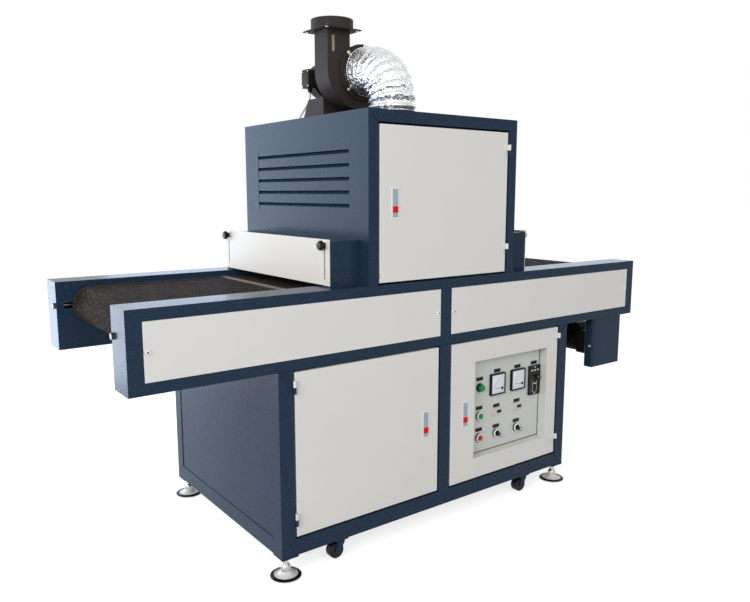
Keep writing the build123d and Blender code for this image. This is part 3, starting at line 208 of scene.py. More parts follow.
def woven_belt_finish(look):
    """Glass-fibre mesh woven and coated with brown PTFE, with open squares between the threads.

    It looks almost black from above and dull brown along the threads. The near-black of the open
    squares is painted shade, and the pale flecks on the threads are painted glints. The pitch is
    6.5 mm, coarser than the real 4 mm mesh, so that it shows.
    """
    material, tree = start_material("PtfeMesh")
    along = add_node(tree, "ShaderNodeUVMap", uv_map="belt").outputs[0]
    waves = []
    for direction in ("X", "Y"):
        wave = add_node(tree, "ShaderNodeTexWave", {
            "Vector": along, "Scale": tau / (20 * look.mesh_pitch), "Distortion": 0.0,
        }, wave_type="BANDS", bands_direction=direction, wave_profile="SIN")
        waves.append(wave.outputs["Fac"])
    threads = add_node(tree, "ShaderNodeMath", {0: waves[0], 1: waves[1]}, operation="MAXIMUM")
    grain = add_node(tree, "ShaderNodeTexNoise", {"Vector": along, "Scale": 130.0, "Detail": 4.0})
    grain_and_glint = add_node(tree, "ShaderNodeMapRange", {
        "Value": grain.outputs["Fac"], "From Min": 0.34, "From Max": 0.66, "To Min": 0.25, "To Max": 0.78,
    })
    drawn = add_node(tree, "ShaderNodeMapping", {"Vector": along, "Scale": (9.0, 1.5, 1.0)}).outputs[0]
    streak = add_node(tree, "ShaderNodeTexNoise", {"Vector": drawn, "Scale": 4.0, "Detail": 4.0})
    narrow = add_node(tree, "ShaderNodeMath", {0: threads.outputs[0], 1: 3.0}, operation="POWER")
    shine = add_node(tree, "ShaderNodeMath", {0: narrow.outputs[0], 1: grain_and_glint.outputs[0]}, operation="MULTIPLY")
    streaks_and_glint = add_node(tree, "ShaderNodeMapRange", {
        "Value": streak.outputs["Fac"], "From Min": 0.3, "From Max": 0.7, "To Min": 0.43, "To Max": 0.57,
    })
    level = add_node(tree, "ShaderNodeMath", {0: shine.outputs[0], 1: streaks_and_glint.outputs[0]}, operation="MULTIPLY")
    ramp = add_node(tree, "ShaderNodeValToRGB", {"Fac": level.outputs[0]})
    # The near-black foot of the ramp, between the threads, is painted shade seen through the open squares
    ramp.color_ramp.elements[0].position = 0.03
    ramp.color_ramp.elements[0].color = linear("#0a0808")
    ramp.color_ramp.elements[1].position = 0.30
    ramp.color_ramp.elements[1].color = (*look.belt_colour, 1.0)
    # The pale top of the ramp is a painted glint: pale flecks on the crests of the threads where grain and
    # streaks run high
    glint = ramp.color_ramp.elements.new(0.37)
    glint.color = linear("#8f857f")
    finish_material(tree, (narrow.outputs[0], 0.8, 0.0010), {
        "Base Color": ramp.outputs[0], "Roughness": 0.6, "Specular IOR Level": 0.01,
    })
    return material


def belt_tape_finish():
    """Brown PTFE tape folded over the belt edges and over its joint: closed cloth with a soft shine."""
    material, tree = start_material("PtfeTape")
    along = add_node(tree, "ShaderNodeUVMap", uv_map="belt").outputs[0]
    cloth = add_node(tree, "ShaderNodeTexNoise", {"Vector": along, "Scale": 420.0, "Detail": 2.0})
    ramp = add_node(tree, "ShaderNodeValToRGB", {"Fac": cloth.outputs["Fac"]})
    ramp.color_ramp.elements[0].position = 0.3
    ramp.color_ramp.elements[0].color = linear("#2e241e")
    ramp.color_ramp.elements[1].position = 0.75
    ramp.color_ramp.elements[1].color = linear("#6b5647")
    finish_material(tree, (cloth.outputs["Fac"], 0.3, 0.0004), {
        "Base Color": ramp.outputs[0], "Roughness": 0.38,
    })
    return material


def bare_metal(name, colour, roughness, spread, line=None):
    """Bare or plated metal, whose fine marks pull its highlights apart.

    line stretches the marks along one axis, as turning or rolling does.
    """
    material, tree = start_material(name)
    place = add_node(tree, "ShaderNodeTexCoord").outputs["Object"]
    if line:
        place = add_node(tree, "ShaderNodeMapping", {"Vector": place, "Scale": line}).outputs[0]
    marks = add_node(tree, "ShaderNodeTexNoise", {"Vector": place, "Scale": 420.0, "Detail": 4.0})
    marks = marks.outputs["Fac"]
    finish_patterned(
        tree, colour, [(marks, 0.93, 1.04)], (marks, roughness - spread, roughness + spread),
        (marks, 0.08, 0.0003), {"Metallic": 1.0},
    )
    return material


def crinkled_foil():
    """Thin aluminium foil over a wire helix; it is crushed into small flat facets that flash."""
    material, tree = start_material("DuctFoil")
    place = add_node(tree, "ShaderNodeTexCoord").outputs["Object"]
    creases = add_node(tree, "ShaderNodeTexVoronoi", {"Vector": place, "Scale": 95.0, "Randomness": 1.0})
    fine = add_node(tree, "ShaderNodeTexNoise", {"Vector": place, "Scale": 140.0, "Detail": 3.0})
    fine = fine.outputs["Fac"]
    heights = add_node(tree, "ShaderNodeMath", {0: creases.outputs["Distance"], 1: fine}, operation="ADD")
    # Its roughness is even: what breaks up its shine is the relief
    finish_patterned(
        tree, "#f2f3f4", [(fine, 0.82, 1.0)], (fine, 0.28, 0.28), (heights.outputs[0], 0.9, 0.004),
        {"Metallic": 1.0},
    )
    return material


def moulded_plastic(name, colour, roughness, level=0.5):
    """Injection moulded plastic or a cast part in enamel.

    The fine spark-eroded grain of the mould dulls it evenly, and handling leaves softer patches.
    """
    material, tree = start_material(name)
    place = add_node(tree, "ShaderNodeTexCoord").outputs["Object"]
    grain = add_node(tree, "ShaderNodeTexNoise", {"Vector": place, "Scale": 1400.0, "Detail": 2.0})
    grain = grain.outputs["Fac"]
    wipe = add_node(tree, "ShaderNodeTexNoise", {"Vector": place, "Scale": 40.0, "Detail": 3.0})
    finish_patterned(
        tree, colour, [(grain, 0.92, 1.06)], (wipe.outputs["Fac"], roughness - 0.04, roughness + 0.06),
        (grain, 0.12, 0.0002), {"Specular IOR Level": level},
    )
    return material


def clear_quartz():
    """Fused quartz tube: clear, smooth and a little cloudy where it has been handled."""
    material, tree = start_material("FusedQuartz")
    place = add_node(tree, "ShaderNodeTexCoord").outputs["Object"]
    cloud = add_node(tree, "ShaderNodeTexNoise", {"Vector": place, "Scale": 60.0, "Detail": 3.0})
    dull = add_node(tree, "ShaderNodeMapRange", {
        "Value": cloud.outputs["Fac"], "To Min": 0.02, "To Max": 0.16,
    })
    surface = add_node(tree, "ShaderNodeBsdfPrincipled", {
        "Base Color": linear("#eef2f4"), "Roughness": dull.outputs[0], "IOR": 1.46,
        "Transmission Weight": 0.7,
    })
    add_node(tree, "ShaderNodeOutputMaterial", {"Surface": surface.outputs[0]})
    return material


def make_finishes(look):
    """Every finish of the machine by the name of its CAD material slot."""
    navy = "#%02x%02x%02x" % tuple(look.navy_code)
    pale = "#%02x%02x%02x" % tuple(look.panel_code)
    return {
        "navy_coat": powder_coat("NavyPowderCoat", navy, 0.0055, 0.25, 0.09, 0.25, 0.24),
        "panel_coat": powder_coat("PalePowderCoat", pale, 0.0030, 0.48, 0.2, 0.12, 0.02),
        "pan_coat": powder_coat("PanEnamel", "#d2d5cf", 0.0030, 0.36, 0.3, 0.1, 0.02),
        "belt_mesh": woven_belt_finish(look),
        "steel": bare_metal("TurnedSteel", "#b4b4b2", 0.34, 0.08, (1.0, 0.08, 1.0)),
        "zinc": bare_metal("ZincSheet", "#b2b6b8", 0.42, 0.1),
        "chrome": bare_metal("BrightPlating", "#d9dadb", 0.12, 0.05),
        "reflector": bare_metal("PolishedReflector", "#d8dadc", 0.16, 0.05, (1.0, 0.05, 1.0)),
        "foil": crinkled_foil(),
        "quartz": clear_quartz(),
        "blower_coat": powder_coat("BlowerEnamel", "#36302f", 0.004, 0.5, 0.1, 0.2, 0.12),
        "black_plastic": moulded_plastic("BlackNylon", "#0b0b0d", 0.34, 0.2),
        "motor_black": powder_coat("MotorEnamel", "#2a2422", 0.003, 0.46, 0.1, 0.25),
        "instrument": moulded_plastic("BezelAbs", "#08080a", 0.3, 0.2),
        "wheel": moulded_plastic("RubberTread", "#0e0e10", 0.5, 0.25),
        "latch": moulded_plastic("LatchZincAlloy", "#e4e7e8", 0.34),
        "lead": moulded_plastic("LeadPvc", "#d9d5cc", 0.45),
    }


def make_small_finishes():
    """Finishes of the fine parts that only the scene has."""
    for name, colour, roughness, level in (
        ("DialCard", "#eceef6", 0.5, 0.3), ("CounterCase", "#cfc8bd", 0.42, 0.5),
        ("ControllerPlate", "#1d1e20", 0.42, 0.2), ("TagLaminate", "#141416", 0.4, 0.15),
        ("ScaleInk", "#a3a5b2", 0.6, 0.2), ("GreenLens", "#058a44", 0.26, 0.25),
        ("RedCap", "#d9000c", 0.3, 0.2), ("LeverZincAlloy", "#9caabd", 0.34, 0.5),
        ("LabelVinyl", "#94806a", 0.4, 0.5), ("SatinRing", "#f4f4f2", 0.4, 0.5),
        # The seal strip's dark brown is partly painted shade where the plate meets the pan walls
        ("SealStripShade", "#75665b", 0.6, 0.3),
    ):
        moulded_plastic(name, colour, roughness, level)
    # The gates take a warmer copy of the door coat; its warm tone is painted light on them, as the paint is
    # the doors' own
    powder_coat("GateCoatWarmLight", "#e3ddd2", 0.0030, 0.48, 0.2, 0.12, 0.02)
    # The feet's pale zinc flake coat is partly their own grey and partly painted reflection: a pale non-metal
    # stands in for the bright plating's shine
    powder_coat("ZincFlakeAndSheen", "#d6d6d3", 0.0025, 0.34, 0.5, 0.1, 0.02)
    bare_metal("ScrewZinc", "#dad6cf", 0.45, 0.08)
    bare_metal("OiledSteel", "#6c6056", 0.34, 0.08)
    bare_metal("BoltBrassy", "#cfc3a6", 0.36, 0.08)


# Places
def at(x, y, z):
    """A place that isn't turned."""
    return Matrix.Translation((x, y, z))


def about_z(degrees):
    """A turn about a shape's own Z."""
    return Matrix.Rotation(radians(degrees), 4, "Z")


def facing(x, y, z, side):
    """A place whose own Z points out of the machine on one side."""
    turns = {
        "front": Euler((pi / 2, 0, 0)), "back": Euler((-pi / 2, 0, 0)), "left": Euler((0, -pi / 2, 0)),
        "right": Euler((0, pi / 2, 0)), "up": Euler((0, 0, 0)), "down": Euler((pi, 0, 0)),
    }
    return at(x, y, z) @ turns[side].to_matrix().to_4x4()


def on_plate(x, z, out=0.0):
    """A place on the instrument plate, or some way out in front of it."""
    return facing(x, plate_y - out, z, "front")


# Work on a mesh
def soften(bm, edges, offset, segments):
    """Rounds some edges of a shape."""
    bmesh.ops.bevel(
        bm, geom=edges, offset=offset, offset_type="OFFSET", segments=segments, profile=0.5,
        affect="EDGES", material=-1, clamp_overlap=True,
    )


def draw_out(bm, edges, step):
    """Extrudes open edges by one step; gives the new open edges, points and faces."""
    made = bmesh.ops.extrude_edge_only(bm, edges=edges)["geom"]
    verts = [item for item in made if isinstance(item, bmesh.types.BMVert)]
    faces = [item for item in made if isinstance(item, bmesh.types.BMFace)]
    edges = [item for item in made if isinstance(item, bmesh.types.BMEdge) and len(item.link_faces) == 1]
    bmesh.ops.translate(bm, vec=step, verts=verts)
    return edges, verts, faces


def join(bm, shape, place, material=0):
    """Adds a shape to a piece, at its place and with one of the piece's materials."""
    bmesh.ops.transform(shape, matrix=place, verts=shape.verts)
    for face in shape.faces:
        face.material_index = max(material, face.material_index)
    store = bpy.data.meshes.new("store")
    shape.to_mesh(store)
    shape.free()
    bm.from_mesh(store)
    bpy.data.meshes.remove(store)


# Shapes. Each makes a mesh of its own, flat on its back at the origin with its face up +Z
def slab(width, height, depth, corner=0.0, edge=0.0004, rim=0.0, well=0.0):
    """A plate with round corners and a softened front edge; rim and well let its face in."""
    bm = bmesh.new()
    place = at(0, 0, depth / 2) @ Matrix.Diagonal((width, height, depth, 1))
    bmesh.ops.create_cube(bm, size=1.0, matrix=place)
    if well:
        face = max(bm.faces, key=lambda item: item.calc_center_median().z)
        bmesh.ops.inset_individual(bm, faces=[face], thickness=rim, depth=0.0, use_even_offset=True)
        bmesh.ops.inset_individual(bm, faces=[face], thickness=0.0003, depth=-well, use_even_offset=True)
    if corner:
        uprights = [item for item in bm.edges if is_outer(item, width, height)]
        soften(bm, [item for item in uprights if item.verts[0].co.z != item.verts[1].co.z], corner, 5)
    if edge:
        front = [item for item in bm.edges if min(vert.co.z for vert in item.verts) > depth * 0.99]
        front = [item for item in front if any(abs(face.normal.z) < 0.5 for face in item.link_faces)]
        soften(bm, [item for item in front if not is_inner(item, width, height, rim)], edge, 2)
    return bm


def is_outer(edge, width, height):
    """Whether both ends of an edge lie on an upright corner of a plate."""
    return all(
        abs(abs(vert.co.x) - width / 2) < 1e-6 and abs(abs(vert.co.y) - height / 2) < 1e-6
        for vert in edge.verts
    )


def is_inner(edge, width, height, rim):
    """Whether an edge lies round the let-in face of a plate."""
    return bool(rim) and all(
        abs(vert.co.x) < width / 2 - rim * 0.8 and abs(vert.co.y) < height / 2 - rim * 0.8
        for vert in edge.verts
    )


def turned(outline, steps=40):
    """A turned shape from (radius, height) points that run up its outside."""
    bm = bmesh.new()
    verts = [bm.verts.new((radius, 0.0, height)) for radius, height in outline]
    edges = [bm.edges.new(pair) for pair in zip(verts, verts[1:])]
    bmesh.ops.spin(
        bm, geom=verts + edges, cent=(0, 0, 0), axis=(0, 0, 1), angle=tau, steps=steps, use_merge=True,
    )
    bmesh.ops.remove_doubles(bm, verts=bm.verts, dist=1e-7)
    bmesh.ops.recalc_face_normals(bm, faces=bm.faces)
    return bm


def boss(radius, shoulder, top, height, crown=0.0, steps=40):
    """A turned disc with a bevelled upper edge; crown is the height of its middle."""
    outline = [(0.0, 0.0), (radius, 0.0), (radius, shoulder), (top, height), (0.0, crown or height)]
    return turned(outline, steps)


def fluted(outline, lobes, depth, steps):
    """A turned shape whose wide rings are pulled in between a number of lobes."""
    bm = turned(outline, steps)
    widest = max(point[0] for point in outline)
    for vert in bm.verts:
        reach = Vector((vert.co.x, vert.co.y)).length
        if reach > widest * 0.8:
            pull = 1 - depth * (1 - cos(lobes * atan2(vert.co.y, vert.co.x))) / 2
            vert.co.x *= pull
            vert.co.y *= pull
    return bm


def screw_head(radius, height, slot=0.0):
    """A pan head; slot is the width of its cross recess, or none."""
    outline = [
        (0.0, 0.0), (radius, 0.0), (radius, height * 0.35), (radius * 0.88, height * 0.75),
        (radius * 0.55, height), (0.0, height),
    ]
    bm = turned(outline, 20)
    # The cross recess is a thin sheet in the piece's second finish; on the panel screws that is black, as
    # painted shade in the recess
    if slot:
        for turn in (0, pi / 2):
            place = Matrix.Rotation(turn + 0.4, 4, "Z") @ at(0, 0, height - 0.0002)
            join(bm, slab(radius, slot, 0.0003, 0.0, 0.0), place, 1)
    return bm


def scale_arc(radius, width):
    """The printed quarter arc of a meter's scale, from straight up to the left."""
    bm = bmesh.new()
    place = at(0, radius, 0.00015) @ Matrix.Diagonal((0.00002, width, 0.0003, 1))
    bmesh.ops.create_cube(bm, size=1.0, matrix=place)
    end = min(bm.faces, key=lambda item: item.calc_center_median().x)
    rest = [face for face in bm.faces if face != end]
    bmesh.ops.delete(bm, geom=rest, context="FACES")
    bmesh.ops.spin(bm, geom=[end], cent=(0, 0, 0), axis=(0, 0, 1), angle=pi / 2, steps=28)
    bmesh.ops.recalc_face_normals(bm, faces=bm.faces)
    return bm


# Pieces
def finish_of(name):
    """A finish that the coating step made."""
    if name not in bpy.data.materials:
        raise RuntimeError("coat the parts first: there is no finish " + name)
    return bpy.data.materials[name]


def thicken(piece, thickness):
    """Gives a sheet piece its wall, inwards from its surface."""
    wall = piece.modifiers.new("Wall", "SOLIDIFY")
    wall.thickness = thickness
    wall.offset = -1.0


def add_object(name, data):
    """An object in the scene, at the origin."""
    item = bpy.data.objects.new(name, data)
    bpy.context.scene.collection.objects.link(item)
    return item


def put_piece(name, bm, body, slot, *finishes, sharp=35):
    """Makes the finished piece from its mesh and rides it on its body."""
    mesh = bpy.data.meshes.new(name)
    bm.to_mesh(mesh)
    bm.free()
    for finish in finishes:
        mesh.materials.append(finish_of(finish))
    mesh.polygons.foreach_set("use_smooth", [True] * len(mesh.polygons))
    mesh.set_sharp_from_angle(angle=radians(sharp))
    piece = add_object(name, mesh)
    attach(piece, body)
    return piece


# Sizes and colours that a user may change
class TunnelLook(bpy.types.PropertyGroup):
    """Colours and fine sizes of the machine's finish."""

    navy_code: bpy.props.IntVectorProperty(
        name="Frame colour", description="sRGB levels of the frame coat", default=(34, 52, 72),
        min=0, max=255, size=3,
    )
    panel_code: bpy.props.IntVectorProperty(
        name="Door colour", description="sRGB levels of the doors and cover panels", default=(226, 225, 222),
        min=0, max=255, size=3,
    )
    belt_colour: bpy.props.FloatVectorProperty(
        name="Belt thread", description="Colour of the belt's threads", default=linear("#4a3f39")[:3],
        min=0.0, max=1.0, size=3, subtype="COLOR",
    )
    mesh_pitch: bpy.props.FloatProperty(
        name="Mesh pitch", description="Distance between the belt's threads", default=0.0065,
        min=0.002, max=0.02, unit="LENGTH",
    )
    tape_width: bpy.props.FloatProperty(
        name="Edge tape", description="Width of the tape on the belt's edges", default=0.012,
        min=0.004, max=0.05, unit="LENGTH",
    )
    strip_width: bpy.props.FloatProperty(
        name="Seal", description="Width of the sealing strip round the instrument plate", default=0.0028,
        min=0.001, max=0.01, unit="LENGTH",
    )
    tag_size: bpy.props.FloatVectorProperty(
        name="Caption plates", description="Width and height of the blank plates over the controls",
        default=(0.031, 0.012), min=0.004, max=0.08, size=2, unit="LENGTH",
    )


class DuctLook(bpy.types.PropertyGroup):
    """The foil duct between hood and blower."""

    bend: bpy.props.FloatProperty(
        name="Bend radius", description="Radius of the duct's middle line in its bend", default=0.125,
        min=0.08, max=0.3, unit="LENGTH",
    )
    pitch: bpy.props.FloatProperty(
        name="Wire pitch", description="Distance between the turns of the wire under the foil",
        default=0.024, min=0.01, max=0.06, unit="LENGTH",
    )
    sag: bpy.props.FloatProperty(
        name="Foil sag", description="How far the foil falls in between two turns", default=0.013,
        min=0.0, max=0.02, unit="LENGTH",
    )
    crush: bpy.props.FloatProperty(
        name="Crush", description="How deep the foil is crushed", default=0.005,
        min=0.0, max=0.01, unit="LENGTH",
    )


class StageLook(bpy.types.PropertyGroup):
    """Camera and light."""

    lens: bpy.props.FloatProperty(
        name="Lens", description="Focal length on a 36 mm sensor", default=34.052, min=10.0, max=200.0,
        subtype="DISTANCE_CAMERA",
    )
    azimuth: bpy.props.FloatProperty(
        name="Azimuth", description="Direction the camera looks in, from +Y towards +X", default=0.64411,
        subtype="ANGLE",
    )
    pitch: bpy.props.FloatProperty(
        name="Pitch", description="How far the camera looks down", default=0.15200, subtype="ANGLE",
    )
    ambient: bpy.props.FloatProperty(
        name="Ambient", description="Light from all round", default=0.5, min=0.0, max=2.0,
    )


# Operators
class CoatParts(bpy.types.Operator):
    """Give every CAD part the finish of its material slot"""

    bl_idname = "tunnel.coat_parts"
    bl_label = "Coat the CAD parts"

    def execute(self, context):
        finishes = make_finishes(context.scene.tunnel_look)
        belt_tape_finish()
        make_small_finishes()
        for part in frame["record"]["subparts"]:
            node = frame["nodes"][part["node"]]
            node.data.materials.clear()
            node.data.materials.append(finishes[part["material_slot"]])
        for name, finish in (
            # The feet's pale coat is partly painted reflection of the bright plating
            ("levelling_feet", "ZincFlakeAndSheen"), ("take_up_bolts", "OiledSteel"),
            # The gates' warmer coat is painted light
            ("infeed_gate", "GateCoatWarmLight"), ("outfeed_gate", "GateCoatWarmLight"),
        ):
            frame["nodes"][name].data.materials[0] = finish_of(finish)
        return {"FINISHED"}


class WeaveBelt(bpy.types.Operator):
    """Make the mesh belt as one loop with taped edges and a joint"""

    bl_idname = "tunnel.weave_belt"
    bl_label = "Mesh belt"

    def execute(self, context):
        look = context.scene.tunnel_look
        radius = (belt_high.z - belt_low.z) / 2
        centre_z = (belt_high.z + belt_low.z) / 2
        axle = belt_high.x - radius
        bm = bmesh.new()
        # A circle with no point on its middle is drawn out into the loop
        ring = bmesh.ops.create_circle(
            bm, segments=64, radius=radius,
            matrix=facing(0, belt_low.y, centre_z, "front") @ Matrix.Rotation(tau / 128, 4, "Z"),
        )
        for vert in ring["verts"]:
            vert.co.x += axle if vert.co.x > 0 else -axle
        widths = (look.tape_width, belt_high.y - belt_low.y - 2 * look.tape_width, look.tape_width)
        edges = list(bm.edges)
        for part, width in enumerate(widths):
            edges, _, faces = draw_out(bm, edges, (0, width, 0))
            for face in faces:
                face.material_index = 0 if part == 1 else 1
        bmesh.ops.recalc_face_normals(bm, faces=bm.faces)
        if sum(face.normal.z * (face.calc_center_median().z - centre_z) for face in bm.faces) < 0:
            bmesh.ops.reverse_faces(bm, faces=bm.faces)
        # The pattern runs round the loop from the middle of its top
        uv = bm.loops.layers.uv.new("belt")
        for face in bm.faces:
            for loop in face.loops:
                place = loop.vert.co
                turn = atan2(max(abs(place.x) - axle, 0.0), place.z - centre_z)
                run = min(abs(place.x), axle) + radius * turn
                loop[uv].uv = (run if place.x > 0 else -run, place.y)
        belt = put_piece("mesh_belt", bm, "machine", "belt_mesh", "PtfeMesh", "PtfeTape", sharp=60)
        thicken(belt, 0.002)
        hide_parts("conveyor_belt")
        # Joint of the belt, a taped strip across it
        bm = bmesh.new()
        strip = slab(0.024, belt_high.y - belt_low.y - 0.004, 0.0012, 0.0, 0.0004)
        join(bm, strip, facing(joint_x, 0, belt_high.z - 0.0004, "up"))
        uv = bm.loops.layers.uv.new("belt")
        for face in bm.faces:
            for loop in face.loops:
                loop[uv].uv = (loop.vert.co.x, loop.vert.co.y)
        put_piece("belt_joint", bm, "machine", "belt_mesh", "PtfeTape")
        return {"FINISHED"}


class CrushDuct(bpy.types.Operator):
    """Make the crinkled foil duct from the hood to the blower inlet"""

    bl_idname = "tunnel.crush_duct"
    bl_label = "Foil duct"

    def execute(self, context):
        look = context.scene.tunnel_duct
        radius = (duct_high.x - duct_low.x) / 2
        riser_y = duct_low.y + radius
        pivot = Vector((fan_x, riser_y + look.bend, fan_z - look.bend))
        first_run = duct_high.y - pivot.y
        last_run = pivot.z - duct_low.z
        bend_run = look.bend * pi / 2
        whole_run = first_run + bend_run + last_run
        bm = bmesh.new()
        ring = bmesh.ops.create_circle(
            bm, segments=150, radius=radius, matrix=facing(fan_x, duct_high.y, fan_z, "front"),
        )
        edges = list({edge for vert in ring["verts"] for edge in vert.link_edges})
        first_steps = round(first_run / foil_step)
        last_steps = round(last_run / foil_step)
        # The short run from the inlet to the bend, the bend, and the run down to the hood
        for _ in range(first_steps):
            edges, verts, _ = draw_out(bm, edges, (0, -first_run / first_steps, 0))
        bent = bmesh.ops.spin(
            bm, geom=edges + verts, cent=pivot, axis=(1, 0, 0), angle=pi / 2, steps=84,
        )["geom_last"]
        edges = [item for item in bent if isinstance(item, bmesh.types.BMEdge)]
        for _ in range(last_steps):
            edges, _, _ = draw_out(bm, edges, (0, 0, -last_run / last_steps))
        bmesh.ops.remove_doubles(bm, verts=bm.verts, dist=1e-6)
        bmesh.ops.recalc_face_normals(bm, faces=bm.faces)
        for vert in bm.verts:
            place = vert.co
            if place.y > pivot.y:
                run = duct_high.y - place.y
                middle = Vector((fan_x, place.y, fan_z))
                squeeze = 0.0
            elif place.z < pivot.z:
                run = first_run + bend_run + pivot.z - place.z
                middle = Vector((fan_x, riser_y, place.z))
                squeeze = 0.0
            else:
                turn = atan2(pivot.y - place.y, place.z - pivot.z)
                run = first_run + look.bend * turn
                middle = pivot + look.bend * Vector((0, -sin(turn), cos(turn)))
                reach = (place - pivot).length
                squeeze = max(0.0, 1 - reach / look.bend)
            outward = (place - middle).normalized()
            # The foil falls in between the wires, less near the inlet, and more inside the bend
            valley = sin(pi * run / look.pitch) ** 2
            open_turns = min(1.0, max(0.15, 2.4 * run / whole_run - 0.9))
            around = outward * 3.2
            wrinkle = noise.noise(around * 2.6 + Vector((0, run * 9, 0)))
            crease = abs(noise.noise(place * 70))
            fold = abs(noise.noise(around * 4 + Vector((0, 0, run * 22))))
            drop = look.sag * valley * open_turns * (0.6 + 0.7 * squeeze)
            drop += look.crush * (0.45 * crease + 0.5 * fold * valley)
            drop += 0.0012 * (wrinkle + 1) * valley
            # It is smooth under the clamps at its two ends
            drop *= min(1.0, min(run, whole_run - run) / 0.012)
            vert.co = place - outward * drop
        duct = put_piece("foil_duct", bm, "machine", "foil", "DuctFoil", sharp=180)
        thicken(duct, 0.0008)
        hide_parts("flex_duct")
        return {"FINISHED"}


class FitLatches(bpy.types.Operator):
    """Dress the three door latches: a split pull lever, a red release button and a foot pad"""

    bl_idname = "tunnel.fit_latches"
    bl_label = "Door latches"

    def execute(self, context):
        for door in ("hood_door", "left_door", "control_door"):
            latch = door + "_latch"
            low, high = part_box(latch)
            middle = (low + high) / 2
            lever_y = low.y + 0.0025
            bm = bmesh.new()
            for side in (-1, 1):
                half = slab(0.0073, 0.0455, 0.0012, 0.0012)
                join(bm, half, facing(middle.x + side * 0.0045, lever_y, middle.z + 0.0160, "front"))
            pad = slab(0.0163, 0.0100, 0.0012, 0.0012)
            join(bm, pad, facing(middle.x, lever_y, middle.z - 0.0335, "front"))
            put_piece(latch + "_lever", bm, door, "latch", "LeverZincAlloy")
            bm = bmesh.new()
            button = slab(0.0186, 0.0186, 0.0027, 0.0022, 0.0007)
            join(bm, button, facing(middle.x, lever_y, middle.z - 0.0180, "front"))
            put_piece(latch + "_button", bm, door, "signal_red", "RedCap")
        return {"FINISHED"}


